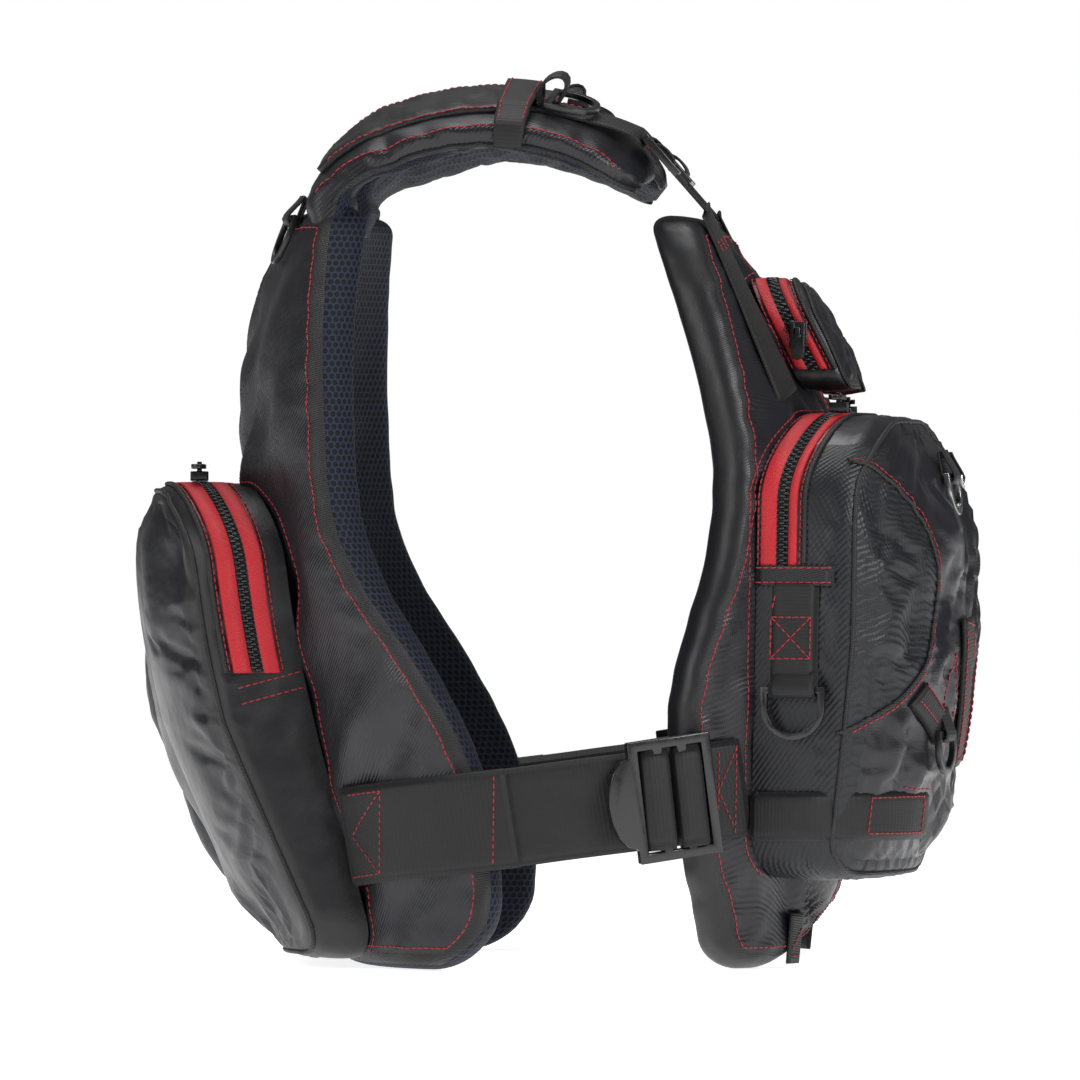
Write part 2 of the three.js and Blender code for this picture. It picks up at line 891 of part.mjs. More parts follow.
// The straight run from the front panel's top to the end of the shoulder webbing.
function shoulderRun() {
  const [around, z] = chestWebbingPath[0];
  const from = onTorso(around, z, shellThickness + seatGap);
  const lift = shoulderWebbingLift(shoulderWebbingEnd);
  const to = onShoulder(shoulderWebbingEnd, shoulderRingAcross, lift);
  const along = to.clone().sub(from).normalize();
  const across = new THREE.Vector3(1, 0, 0).addScaledVector(along, -along.x).normalize();
  return { from, to, along, across, up: across.clone().cross(along) };
}

function shoulderAdjusterPlace() {
  const { to, along, across, up } = shoulderRun();
  const back = shoulderAdjuster.length + shoulderAdjuster.tab + adjusterClearance;
  const origin = to.clone().addScaledVector(along, -back);
  return new THREE.Matrix4().makeBasis(along, up, across).setPosition(origin);
}

function chestWebbing() {
  const { from, along, across, up } = shoulderRun();
  const foot = from.clone().addScaledVector(along, -0.5);
  const head = new THREE.Vector3().setFromMatrixPosition(shoulderAdjusterPlace());
  head.addScaledVector(along, -adjusterClearance);
  const sections = [foot, head].map((point) =>
    [-0.5, 0.5].flatMap((share) => {
      const edge = point.clone().addScaledVector(across, share * strapWidth);
      const top = edge.clone().addScaledVector(up, webbingThickness);
      return share < 0 ? [edge, top] : [top, edge];
    }),
  );
  const inner = shellThickness + seatGap;
  return joined(webbing(chestWebbingPath, strapWidth, inner, webbingThickness), loft(sections));
}

// The strap on the pouch's side gusset ends in a loop for a ring.
const sideStrapTop = 196;
const sideStrapFoot = 142;
const sideStrapOut = shellThickness + seatGap + 22;
const sideRingLift = 1 + loopRadius;

function sideStrapPlace() {
  const lift = new THREE.Matrix4().makeTranslation(0, sideRingLift, 0);
  return placeOnGusset(lowerPouchNear, sideStrapFoot, sideStrapOut).multiply(lift);
}

function sideStrap() {
  const path = [sideStrapFoot + 3, 160, 178, sideStrapTop].map((z) => [lowerPouchNear, z]);
  const half = strapWidth / 2;
  const strap = gussetTape(
    path,
    tapeGap,
    webbingThickness,
    sideStrapOut - half,
    sideStrapOut + half,
  );
  return joined(strap, placed(loopGeometry(strapWidth, 8), sideStrapPlace()));
}

// A band from the side gusset round onto the pouch's face.
function pouchStrap(shape) {
  const height = 78;
  const half = strapWidth / 2;
  const share = (height - lowerPouchBottom) / (lowerPouchTop - lowerPouchBottom);
  const top = (height + half - lowerPouchBottom) / (lowerPouchTop - lowerPouchBottom);
  const faceOut = (across) => Math.max(shape.outer(across, share), shape.outer(across, top));
  const width = lowerPouchNear - lowerPouchFar;
  const low = shellThickness + seatGap + 4;
  const inside = [
    [lowerPouchNear + tapeGap, low],
    [lowerPouchNear + tapeGap, faceOut(1) + tapeGap],
    ...[0.92, 0.82, 0.7, 0.56].map((across) => [
      lowerPouchFar + width * across,
      faceOut(across) + 2 * tapeGap,
    ]),
  ];
  const outward = (i) => {
    const before = inside[Math.max(i - 1, 0)];
    const after = inside[Math.min(i + 1, inside.length - 1)];
    return new THREE.Vector2(after[1] - before[1], before[0] - after[0]).normalize();
  };
  const sections = inside.map(([around, out], i) => {
    const n = outward(i).multiplyScalar(webbingThickness);
    return [
      onTorso(around, height - half, out, true),
      onTorso(around + n.x, height - half, out + n.y, true),
      onTorso(around + n.x, height + half, out + n.y, true),
      onTorso(around, height + half, out, true),
    ];
  });
  return loft(sections);
}

const toolStrapWidth = 18;
const toolStrapHeights = [102, 178];
const toolStrapAcross = [0.3, 0.38]; // share across the pouch's face, at the foot and the top

// A band that runs up the pouch's face, for tools to clip to.
function toolStrap(shape) {
  const [low, high] = toolStrapHeights;
  const [acrossLow, acrossHigh] = toolStrapAcross;
  const steps = 5;
  const half = toolStrapWidth / 2 / (lowerPouchNear - lowerPouchFar);
  const rows = Array.from({ length: steps + 1 }, (_, i) => {
    const z = low + ((high - low) * i) / steps;
    const up = (z - lowerPouchBottom) / (lowerPouchTop - lowerPouchBottom);
    const middle = acrossLow + ((acrossHigh - acrossLow) * i) / steps;
    return [-half, 0, half].map((shift) => [middle + shift, up, z]);
  });
  const grid = (lift) =>
    rows.map((row) =>
      row.map(([across, up, z]) => {
        const around = lowerPouchFar + (lowerPouchNear - lowerPouchFar) * across;
        return onTorso(around, z, shape.outer(across, up) + lift, true);
      }),
    );
  return slab(grid(seatGap + webbingThickness), grid(seatGap));
}

// A small sewn tab that hangs over the front panel's hem.
function hemTab() {
  const at = 108;
  const path = [26, 18, 10, 3].map((z) => [at, z]);
  return webbing(path, 12, shellThickness - 0.5, webbingThickness + 0.5);
}

// ---------------------------------------------------------------- rings on pouches

// Share across and share up of the lower pouch's face where its two rings hang.
const upperRingSpot = [0.42, 0.87];
const lowerRingSpot = [0.56, 0.31];
const smallBar = 18;
const smallDrop = 15;

function pouchRingPlace(shape, [across, up]) {
  const around = lowerPouchFar + (lowerPouchNear - lowerPouchFar) * across;
  const z = lowerPouchBottom + (lowerPouchTop - lowerPouchBottom) * up;
  return placeOn(around, z, shape.outer(across, up) + loopRadius - loopSeat, true);
}

// The same placement turned about its X axis until Z is straight up, for a ring that hangs free.
function hanging(matrix) {
  const [x, y, z] = [new THREE.Vector3(), new THREE.Vector3(), new THREE.Vector3(0, 0, 1)];
  matrix.extractBasis(x, y, new THREE.Vector3());
  x.setZ(0).normalize();
  y.crossVectors(z, x);
  return new THREE.Matrix4().makeBasis(x, y, z).copyPosition(matrix);
}

const lowerRingPlace = (shape) => hanging(pouchRingPlace(shape, lowerRingSpot));

const rearRingPlace = () =>
  placeOn(spine - 84, panelHeight - 5, shellThickness + loopRadius - loopSeat);

// ---------------------------------------------------------------- assembly

const jacket = new THREE.Group();
const back = backPanel();
const backShape = backPouch();
const lowerShape = lowerPouch();
const chestShape = chestPouch();

const mirror = new THREE.Matrix4().makeScale(-1, 1, 1);

// A mirrored copy of a geometry, with its faces turned back out.
function mirrored(geometry) {
  const copy = geometry.clone().applyMatrix4(mirror);
  if (!copy.index) copy.setIndex([...Array(copy.attributes.position.count).keys()]);
  const index = copy.index.array.slice();
  for (let i = 0; i < index.length; i += 3) {
    [index[i + 1], index[i + 2]] = [index[i + 2], index[i + 1]];
  }
  copy.setIndex(new THREE.BufferAttribute(index, 1));
  return copy;
}

const rearLoop = placed(loopGeometry(smallBar - 4, 6), rearRingPlace());
jacket.add(
  part("back_shell", joined(back.shell, rearLoop, mirrored(rearLoop)), shellFabric),
  part("back_foam", back.foam, foam),
  part("back_lining", back.lining, meshLining),
  part("back_pouch", patternPiece(backShape), pouchFabric),
  part(
    "back_zip_tape",
    gussetTape(
      outlineOver(backShape, backZipLow),
      tapeGap,
      zipTapeThickness,
      backTapeInner,
      backTapeInner + zipTapeWidth,
    ),
    redTape,
  ),
);

// A slider on the top run of a pouch's zip, with Y up. Its pull points round the torso, away from
// the front zip, or towards it when turned.
function topSliderPlace(around, top, out, turned) {
  const frame = placeOnGusset(around, top + 2 * tapeGap + zipTapeThickness, out);
  frame.multiply(new THREE.Matrix4().makeRotationX(Math.PI / 2));
  return frame.multiply(new THREE.Matrix4().makeRotationY(turned ? Math.PI : 0));
}

const backSliderPlace = topSliderPlace(
  spine - 62,
  backPouchTop,
  backTapeInner + zipTapeWidth / 2,
  true,
);
const pullShift = new THREE.Matrix4().makeTranslation(0, sliderHeight + pullEye, 0);
jacket.add(
  partAt("back_zip_slider", sliderGeometry(), blackPlastic, backSliderPlace),
  partAt("back_zip_pull", pullGeometry(), blackPlastic, backSliderPlace.clone().multiply(pullShift)),
);

// What hangs on the wearer's right, as [name, geometry, material, placement]; the left mirrors it.
const identity = new THREE.Matrix4();
const front = frontPanel();
const upperLoop = placed(loopGeometry(smallBar - 4, 9), pouchRingPlace(lowerShape, upperRingSpot));
const lowerLoop = placed(loopGeometry(smallBar - 4, 9), lowerRingPlace(lowerShape));
const lowerTape = gussetTape(
  outlineOver(lowerShape, lowerZipLow),
  tapeGap,
  zipTapeThickness,
  lowerTapeInner,
  lowerTapeInner + zipTapeWidth,
);
const chestTape = gussetTape(
  outlineOver(chestShape, chestZipLow),
  tapeGap,
  zipTapeThickness,
  chestTapeInner,
  chestTapeInner + chestTapeWidth,
);
const waistAdjusterAt = 180; // middle of the adjuster on the belt
const waistAdjusterPlace = placeOn(
  waistAdjusterAt,
  beltMiddle(waistAdjusterAt),
  beltInner + webbingThickness + adjusterLift,
)
  .multiply(new THREE.Matrix4().makeRotationY(Math.atan(beltRise)))
  .multiply(new THREE.Matrix4().makeTranslation(-waistAdjuster.length / 2, 0, 0));
const chestSliderPlace = placeOnGusset(
  chestShape.edges(chestSliderAt)[1],
  chestSliderAt,
  chestTapeInner + chestTapeWidth / 2,
  chestPouchLean,
).multiply(new THREE.Matrix4().makeTranslation(0, 2.6 * tapeGap + zipTapeThickness, 0));
const lowerSliderPlace = topSliderPlace(
  lowerPouchNear - 50,
  lowerPouchTop,
  lowerTapeInner + zipTapeWidth / 2,
  false,
);

const rightSide = [
  ["shoulder_pad", shoulderPad(), shellFabric, identity],
  ["shoulder_cover", shoulderCover(), shellFabric, identity],
  ["shoulder_webbing", shoulderWebbing(), blackWebbing, identity],
  ["shoulder_ring", ringGeometry(ringBar, ringDrop), blackPlastic, shoulderRingPlace()],
  ["rear_ring", ringGeometry(smallBar, ringDrop), blackPlastic, rearRingPlace()],
  ["back_belt", webbing(beltPath(beltSplit + beltSplitGap / 2, backBeltEnd, 7), beltWidth,
    beltInner, webbingThickness), blackWebbing, identity],
  ["front_shell", joined(front.shell, hemTab()), shellFabric, identity],
  ["front_foam", front.foam, foam, identity],
  ["front_lining", front.lining, meshLining, identity],
  ["front_zip_tape", frontZipHalf(), blackWebbing, identity],
  ["lower_pouch", joined(patternPiece(lowerShape), upperLoop, lowerLoop), pouchFabric, identity],
  ["lower_zip_tape", lowerTape, redTape, identity],
  ["chest_pouch", patternPiece(chestShape), pouchFabric, identity],
  ["chest_zip_tape", chestTape, redTape, identity],
  ["chest_webbing", chestWebbing(), blackWebbing, identity],
  ["front_belt", webbing(beltPath(frontBeltEnd, beltSplit - beltSplitGap / 2, 6), beltWidth,
    beltInner, webbingThickness), blackWebbing, identity],
  ["side_strap", sideStrap(), blackWebbing, identity],
  ["pouch_strap", pouchStrap(lowerShape), blackWebbing, identity],
  ["side_ring", ringGeometry(), blackPlastic, sideStrapPlace()],
  ["upper_ring", ringGeometry(smallBar, smallDrop), darkMetal,
    pouchRingPlace(lowerShape, upperRingSpot)],
  ["lower_ring", ringGeometry(smallBar, smallDrop), darkMetal, lowerRingPlace(lowerShape)],
  ["waist_adjuster", adjusterGeometry(beltWidth, waistAdjuster), blackPlastic,
    waistAdjusterPlace],
  ["shoulder_adjuster", adjusterGeometry(strapWidth, shoulderAdjuster), blackPlastic,
    shoulderAdjusterPlace()],
  ["lower_zip_slider", taggedSliderGeometry(), blackPlastic, lowerSliderPlace],
  ["chest_zip_slider", taggedSliderGeometry(shortPullLength), blackPlastic, chestSliderPlace],
  ["tool_strap", toolStrap(lowerShape), blackWebbing, identity],
];

// The front zip is closed, with its slider at the top of both tapes. The tapes' straight rows lie
// inside the torso's curve, so the slider sinks in after them.
const frontSliderSink = 0.3;
const frontSliderPlace = placeOn(
  0,
  frontZipTop - sliderLength,
  shellThickness + seatGap + zipTapeThickness - frontSliderSink,
);
jacket.add(partAt("front_zip_slider", taggedSliderGeometry(), blackPlastic, frontSliderPlace));

for (const [name, geometry, material, matrix] of rightSide) {
  jacket.add(partAt(`${name}_right`, geometry, material, matrix));
  // The left copy is the right one reflected in the middle plane.
  const left = new THREE.Matrix4().multiplyMatrices(mirror, matrix).multiply(mirror);
  jacket.add(partAt(`${name}_left`, mirrored(geometry), material, left));
}

// The pattern's origin is the middle of the torso, so the jacket moves over to the middle of its box.
const box = new THREE.Box3().setFromObject(jacket, true);
jacket.position.y = -(box.min.y + box.max.y) / 2;

export default jacket;
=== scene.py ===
"""Looks for the fishing life jacket: sewn panels, pouches, zips, webbing and hardware."""

import math

import bmesh
import bpy
import numpy as np
from mathutils import Matrix, Vector
from mathutils.bvhtree import BVHTree


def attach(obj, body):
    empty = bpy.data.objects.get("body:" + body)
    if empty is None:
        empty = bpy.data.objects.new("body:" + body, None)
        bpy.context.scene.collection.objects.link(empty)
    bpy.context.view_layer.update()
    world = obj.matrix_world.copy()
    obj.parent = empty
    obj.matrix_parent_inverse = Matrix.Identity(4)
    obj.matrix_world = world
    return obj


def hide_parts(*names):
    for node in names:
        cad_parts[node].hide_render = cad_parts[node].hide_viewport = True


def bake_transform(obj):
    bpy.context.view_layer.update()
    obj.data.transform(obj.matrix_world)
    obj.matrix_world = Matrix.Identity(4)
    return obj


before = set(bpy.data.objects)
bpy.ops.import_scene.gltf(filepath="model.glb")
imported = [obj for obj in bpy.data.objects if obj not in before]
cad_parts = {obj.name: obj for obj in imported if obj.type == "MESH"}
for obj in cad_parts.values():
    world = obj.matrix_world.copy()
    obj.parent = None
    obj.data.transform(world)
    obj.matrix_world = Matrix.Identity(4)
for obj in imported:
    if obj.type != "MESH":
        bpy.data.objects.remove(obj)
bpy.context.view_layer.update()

# ------------------------------------------------------------------ pattern, in millimetres

MM = 0.001
PANEL_HEIGHT = 388.0
CHEST_WIDTH = 320.0
FRONT_DEPTH = 128.0
BACK_DEPTH = 135.0
POWER = 2.6
SHELL = 27.8  # outer face of a panel, out from its lining
SEAT = 0.9
FACE = SHELL + SEAT  # where webbing and pouches start
MIDDLE_Y = 1.0229  # from the pattern's middle plane to the middle of the jacket's box
SPLAY = 0.25
TORSO_FORM = np.array([
    [0.0, 0.94, 0.88, 0.62],
    [0.15, 0.96, 0.95, 0.73],
    [0.33, 0.98, 1.0, 0.86],
    [0.53, 1.0, 1.0, 0.96],
    [0.71, 1.01, 0.91, 1.0],
    [0.86, 0.99, 0.67, 0.95],
    [1.0, 0.88, 0.43, 0.8],
])


def smooth(stations, column, position):
    """Smooth value of a column of stations, whose first column is the position."""
    s = np.asarray(stations, float)
    x = np.clip(np.asarray(position, float), s[0, 0], s[-1, 0])
    i = np.clip(np.searchsorted(s[:, 0], x, side="left") - 1, 0, len(s) - 2)
    before = np.maximum(np.arange(len(s)) - 1, 0)
    after = np.minimum(np.arange(len(s)) + 1, len(s) - 1)
    slope = (s[after, column] - s[before, column]) / (s[after, 0] - s[before, 0])
    h = s[i + 1, 0] - s[i, 0]
    t = (x - s[i, 0]) / h
    rest = t * t * (3 - 2 * t)
    bend = h * t * (1 - t) * ((1 - t) * slope[i] - t * slope[i + 1])
    return s[i, column] * (1 - rest) + s[i + 1, column] * rest + bend


def level_point(angle, width, front, back):
    depth = np.where(np.cos(angle) > 0, front, back)
    across = np.abs(np.sin(angle) / width) ** POWER
    along = np.abs(np.cos(angle) / depth) ** POWER
    radius = (across + along) ** (-1 / POWER)
    return -radius * np.sin(angle), -radius * np.cos(angle), depth


_steps = np.linspace(0, 2 * np.pi, 2881)
_gx, _gy, _ = level_point(_steps, CHEST_WIDTH / 2, FRONT_DEPTH, BACK_DEPTH)
_girth = np.concatenate([[0], np.cumsum(np.hypot(np.diff(_gx), np.diff(_gy)))])
SIDE, SPINE = _girth[720], _girth[1440]


def on_torso(around, z, out, pouch=False):
    """Pattern points (distance round from the front zip, height, distance out) in space."""
    around, z, out = np.broadcast_arrays(*(np.asarray(v, float) for v in (around, z, out)))
    share = z / PANEL_HEIGHT
    width = CHEST_WIDTH / 2 * smooth(TORSO_FORM, 1, share)
    front = FRONT_DEPTH * smooth(TORSO_FORM, 2, share)
    back = BACK_DEPTH * smooth(TORSO_FORM, 3, share)
    x, y, depth = level_point(np.interp(around, _girth, _steps), width, front, back)
    x = np.where(around < 0, -x, x)
    nx = np.sign(x) * np.abs(x / width) ** (POWER - 1) / width
    ny = np.sign(y) * np.abs(y / depth) ** (POWER - 1) / depth
    length = np.hypot(nx, ny)
    nx, ny = nx / length, ny / length
    shell = np.minimum(out, SHELL) if pouch else out
    x, y = x + nx * shell, y + ny * shell
    if pouch:
        nx = nx * SPLAY
        length = np.hypot(nx, ny)
        x, y = x + nx / length * (out - shell), y + ny / length * (out - shell)
    return np.stack([x, y + MIDDLE_Y, z], -1)


def unit(v):
    v = np.asarray(v, float)
    return v / np.maximum(np.linalg.norm(v, axis=-1, keepdims=True), 1e-9)


def run_along(points):
    """Distance from the first point to each point of a path."""
    return np.concatenate([[0], np.cumsum(np.linalg.norm(np.diff(points, axis=0), axis=1))])


def turned(v):
    """Flat directions turned a quarter to the right."""
    return np.stack([v[..., 1], -v[..., 0]], -1)


def pairs(a, z):
    return np.stack([a, z], -1)


def waves(points, size, seed, count=16):
    """Smooth noise of about unit strength, with features of the given size."""
    rng = np.random.default_rng(seed)
    points = np.asarray(points, float)
    k = unit(rng.normal(size=(count, points.shape[-1]))) * rng.uniform(0.6, 1.6, (count, 1))
    phase = rng.uniform(0, 2 * np.pi, count)
    return np.sin(points @ k.T * (2 * np.pi / size) + phase).sum(-1) / math.sqrt(count / 2)


def folds(a, z, seed, size, angle, stretch=3.5):
    """Long soft creases that run at an angle over the pattern."""
    c, s = math.cos(angle), math.sin(angle)
    along, across = a * c + z * s, -a * s + z * c
    q = np.stack([along / stretch, across], -1)
    field = waves(q + 0.35 * size * waves(q, 3 * size, seed + 50)[..., None], size, seed)
    return np.sign(field) * np.abs(field) ** 1.2


# ------------------------------------------------------------------ materials


class Shader:
    """A Principled material with short helpers for its nodes."""

    def __init__(self, name, color, roughness, metallic=0.0, sheen=0.0, specular=0.5, coat=0.0):
        self.material = bpy.data.materials.new(name)
        self.material.use_nodes = True
        self.tree = self.material.node_tree
        self.bsdf = self.tree.nodes["Principled BSDF"]
        self.material.diffuse_color = (*color, 1)
        self.set("Base Color", (*color, 1))
        self.set("Roughness", roughness)
        self.set("Metallic", metallic)
        self.set("Specular IOR Level", specular)
        self.set("Sheen Weight", sheen)
        self.set("Sheen Roughness", 0.4)
        self.set("Coat Weight", coat)
        self.set("Coat Roughness", 0.15)

    def set(self, socket, value):
        self.bsdf.inputs[socket].default_value = value

    def link(self, source, target):
        self.tree.links.new(source, target)

    def math(self, operation, a, b=None):
        n = self.tree.nodes.new("ShaderNodeMath")
        n.operation = operation
        for i, value in enumerate((a, b)):
            if isinstance(value, (int, float)):
                n.inputs[i].default_value = value
            elif value is not None:
                self.link(value, n.inputs[i])
        return n.outputs[0]

    def place(self, uv=False):
        n = self.tree.nodes.new("ShaderNodeTexCoord")
        return n.outputs["UV" if uv else "Object"]

    def dot(self, vector, direction):
        n = self.tree.nodes.new("ShaderNodeVectorMath")
        n.operation = "DOT_PRODUCT"
        self.link(vector, n.inputs[0])
        n.inputs[1].default_value = direction
        return n.outputs["Value"]

    def stripes(self, vector, direction, pitch):
        """A sine from -1 to 1 along a direction, with this pitch in metres."""
        length = math.sqrt(sum(c * c for c in direction))
        scaled = self.dot(vector, [c / length * 2 * math.pi / pitch for c in direction])
        return self.math("SINE", scaled)

    def noise(self, vector, size, detail=4.0):
        n = self.tree.nodes.new("ShaderNodeTexNoise")
        self.link(vector, n.inputs["Vector"])
        n.inputs["Scale"].default_value = 1 / size
        n.inputs["Detail"].default_value = detail
        return n.outputs["Fac"]

    def ramp(self, value, low, high, first, last):
        n = self.tree.nodes.new("ShaderNodeMapRange")
        self.link(value, n.inputs["Value"])
        ends = {"From Min": low, "From Max": high, "To Min": first, "To Max": last}
        for key, number in ends.items():
            n.inputs[key].default_value = number
        return n.outputs["Result"]

    def blend_colors(self, factor, first, last):
        n = self.tree.nodes.new("ShaderNodeMix")
        n.data_type = "RGBA"
        self.link(factor, n.inputs[0])
        n.inputs[6].default_value = (*first, 1)
        n.inputs[7].default_value = (*last, 1)
        self.link(n.outputs[2], self.bsdf.inputs["Base Color"])

    def bump(self, *heights):
        """Bumps from (height, distance in metres, strength), the largest first."""
        previous = None
        for height, distance, strength in heights:
            n = self.tree.nodes.new("ShaderNodeBump")
            self.link(height, n.inputs["Height"])
            n.inputs["Distance"].default_value = distance
            n.inputs["Strength"].default_value = strength
            if previous:
                self.link(previous, n.inputs["Normal"])
            previous = n.outputs["Normal"]
        self.link(previous, self.bsdf.inputs["Normal"])


def lighter(color, factor):
    return tuple(min(1.0, c * factor) for c in color)


def woven(name, color, roughness, pitch=0.0015, direction=(1, 1, 1), weave=0.5, crease=0.5,
          sheen=0.02, worn=1.8):
    """Coated cloth with a diagonal weave, soft creases and uneven wear."""
    s = Shader(name, color, roughness, sheen=sheen, specular=0.4)
    p = s.place()
    line = s.stripes(p, direction, pitch)
    cross = s.stripes(p, (direction[0], -direction[1], direction[2] * 0.3), pitch * 0.8)
    wear = s.noise(p, 0.03, 6)
    mottled = s.math("ADD", s.ramp(wear, 0.35, 0.7, 0, 0.8), s.math("MULTIPLY", line, 0.2 * weave))
    s.blend_colors(mottled, color, lighter(color, worn))
    s.link(s.ramp(wear, 0.3, 0.7, roughness + 0.07, roughness - 0.06), s.bsdf.inputs["Roughness"])
    fine = s.math("ADD", line, s.math("MULTIPLY", cross, 0.35))
    s.bump((s.noise(p, 0.035, 3), 0.004, crease), (s.noise(p, 0.009, 3), 0.001, 0.4 * crease),
           (fine, 0.00012, weave))
    return s.material


def webbing_cloth(name, color, pitch=0.0019):
    """Ribbed webbing: ribs across its length and a selvedge weave, from its own UV in metres."""
    s = Shader(name, color, 0.6, sheen=0.03, specular=0.35)
    p = s.place(uv=True)
    rib = s.stripes(p, (1, 0, 0), pitch)
    warp = s.stripes(p, (0, 1, 0), 0.0012)
    wear = s.noise(s.place(), 0.02, 5)
    s.blend_colors(s.math("ADD", s.ramp(wear, 0.35, 0.7, 0, 0.7), s.math("MULTIPLY", rib, 0.15)),
                   color, lighter(color, 1.7))
    s.bump((wear, 0.001, 0.25), (s.math("ADD", rib, s.math("MULTIPLY", warp, 0.5)), 0.00012, 0.35))
    return s.material


def hex_mesh(name, hole, thread, pitch=0.0037):
    """Spacer mesh: round holes in a hexagonal lattice over the piece's UV, in metres."""
    s = Shader(name, thread, 0.7, sheen=0.03, specular=0.25)
    p = s.place(uv=True)
    row = pitch * math.sqrt(3) / 2
    first, second, third = (
        s.math("COSINE", s.dot(p, [c * 2 * math.pi / row for c in direction]))
        for direction in ((0, 1, 0), (0.866, 0.5, 0), (-0.866, 0.5, 0)))
    total = s.math("ADD", s.math("ADD", first, second), third)
    solid = s.ramp(total, 0.2, -0.8, 0, 1)
    s.blend_colors(solid, hole, thread)
    s.bump((solid, 0.0006, 0.9))
    return s.material


def moulded(name, color, roughness, metallic=0.0, coat=0.0):
    """Moulded plastic or metal with faint grain and scuffs."""
    s = Shader(name, color, roughness, metallic=metallic, coat=coat)
    p = s.place()
    scuff = s.noise(p, 0.006, 8)
    s.blend_colors(s.ramp(scuff, 0.45, 0.75, 0, 1), color, lighter(color, 1.8))
    s.link(s.ramp(scuff, 0.3, 0.7, roughness - 0.05, roughness + 0.1), s.bsdf.inputs["Roughness"])
    s.bump((s.noise(p, 0.0012, 2), 0.00005, 0.5), (scuff, 0.0001, 0.3))
    return s.material


def thread(name, color):
    s = Shader(name, color, 0.55, sheen=0.1)
    p = s.place()
    twist = s.stripes(p, (1, 1.3, 0.8), 0.0009)
    s.blend_colors(s.ramp(twist, -1, 1, 0, 1), lighter(color, 0.65), color)
    s.bump((twist, 0.0001, 0.5))
    return s.material


M = {
    "shell": woven("shell_twill", (0.0056, 0.0057, 0.0078), 0.38, pitch=0.0016, weave=0.5),
    "twill": woven("pouch_twill", (0.0040, 0.0044, 0.0066), 0.46, pitch=0.0021, weave=0.7,
                   crease=0.25),
    "satin": woven("pouch_satin", (0.0060, 0.0061, 0.0084), 0.35, pitch=0.0009, weave=0.12),
    "wall": woven("edge_nylon", (0.0065, 0.0065, 0.0075), 0.40, pitch=0.001, weave=0.2,
                  crease=0.35),
    "binding": woven("edge_binding", (0.006, 0.006, 0.007), 0.52, pitch=0.0011, weave=0.8,
                     crease=0.1, direction=(0.2, 0.2, 1)),
    "mesh": hex_mesh("spacer_mesh", (0.0006, 0.0006, 0.001), (0.013, 0.018, 0.038)),
    "webbing": webbing_cloth("nylon_webbing", (0.0060, 0.0060, 0.0062)),
    "red": woven("red_zip_tape", (0.36, 0.006, 0.012), 0.5, pitch=0.0009, weave=0.6, crease=0.1,
                 direction=(0.3, 0.3, 1), worn=1.2),
    "thread": thread("red_thread", (0.36, 0.005, 0.018)),
    "plastic": moulded("acetal_plastic", (0.0055, 0.0055, 0.006), 0.26, coat=0.1),
    "metal": moulded("dark_metal", (0.30, 0.30, 0.31), 0.24, metallic=1.0),
    "teeth": moulded("zip_teeth", (0.007, 0.007, 0.0075), 0.3, coat=0.1),
}

# ------------------------------------------------------------------ mesh building


def add_object(name, data):
    obj = bpy.data.objects.new(name, data)
    bpy.context.scene.collection.objects.link(obj)
    return obj


def mesh_object(name, points, faces, materials, slots=None, uvs=None, weld=0.0):
    """An object from points in millimetres. uvs has one row a point, in metres."""
    data = bpy.data.meshes.new(name)
    faces = [tuple(map(int, f)) for f in faces]
    data.from_pydata((np.asarray(points, float) * MM).tolist(), [], faces)
    for m in materials:
        data.materials.append(M[m])
    if slots is not None:
        data.polygons.foreach_set("material_index", np.asarray(slots, np.int32))
    if uvs is not None:
        layer = data.uv_layers.new(name="UVMap")
        index = np.zeros(len(data.loops), np.int32)
        data.loops.foreach_get("vertex_index", index)
        layer.data.foreach_set("uv", np.asarray(uvs, np.float32)[index].ravel())
    data.polygons.foreach_set("use_smooth", [True] * len(data.polygons))
    obj = add_object(name, data)
    bm = bmesh.new()
    bm.from_mesh(data)
    if weld:
        bmesh.ops.remove_doubles(bm, verts=bm.verts, dist=weld * MM)
    bmesh.ops.recalc_face_normals(bm, faces=bm.faces)
    bm.to_mesh(data)
    bm.free()
    data.update()
    return obj


SOFT_EDGE = 1.2  # width over which webbing thins out at its edges


def grid_faces(rows, columns, start=0):
    i, j = np.meshgrid(np.arange(rows - 1), np.arange(columns - 1), indexing="ij")
    k = start + i * columns + j
    return np.stack([k, k + 1, k + columns + 1, k + columns], -1).reshape(-1, 4)


def rim_of(rows, columns):
    """Indexes round the edge of a grid, in order."""
    top = list(range(columns))
    right = [i * columns + columns - 1 for i in range(1, rows)]
    foot = [(rows - 1) * columns + j for j in range(columns - 2, -1, -1)]
    left = [i * columns for i in range(rows - 2, 0, -1)]
    return np.array(top + right + foot + left)


def band(first, second):
    """Quads between two closed loops of indexes."""
    a, b = np.roll(first, -1), np.roll(second, -1)
    return np.stack([first, a, b, second], -1)


def sheet_faces(shape):
    """Faces of a thin closed solid between two grids, the first on top."""
    count, rim = shape[0] * shape[1], rim_of(*shape)
    faces = np.concatenate([grid_faces(*shape), grid_faces(*shape, count), band(rim, rim + count)])
    return faces.tolist()


def sheet(name, top, under, u, v, material="webbing", weld=0.01):
    """A thin closed solid between two grids of points, with its UV in millimetres."""
    uv = np.stack(np.broadcast_arrays(u, v), -1).reshape(-1, 2)
    points = np.concatenate([top.reshape(-1, 3), under.reshape(-1, 3)])
    return mesh_object(name, points, sheet_faces(top.shape[:2]), [material], None,
                       np.concatenate([uv, uv]) * MM, weld)


def soft_edge(inside):
    """Share of a strap's thickness at distances in from its long edges."""
    return np.clip(inside / SOFT_EDGE, 0, 1) ** 0.5


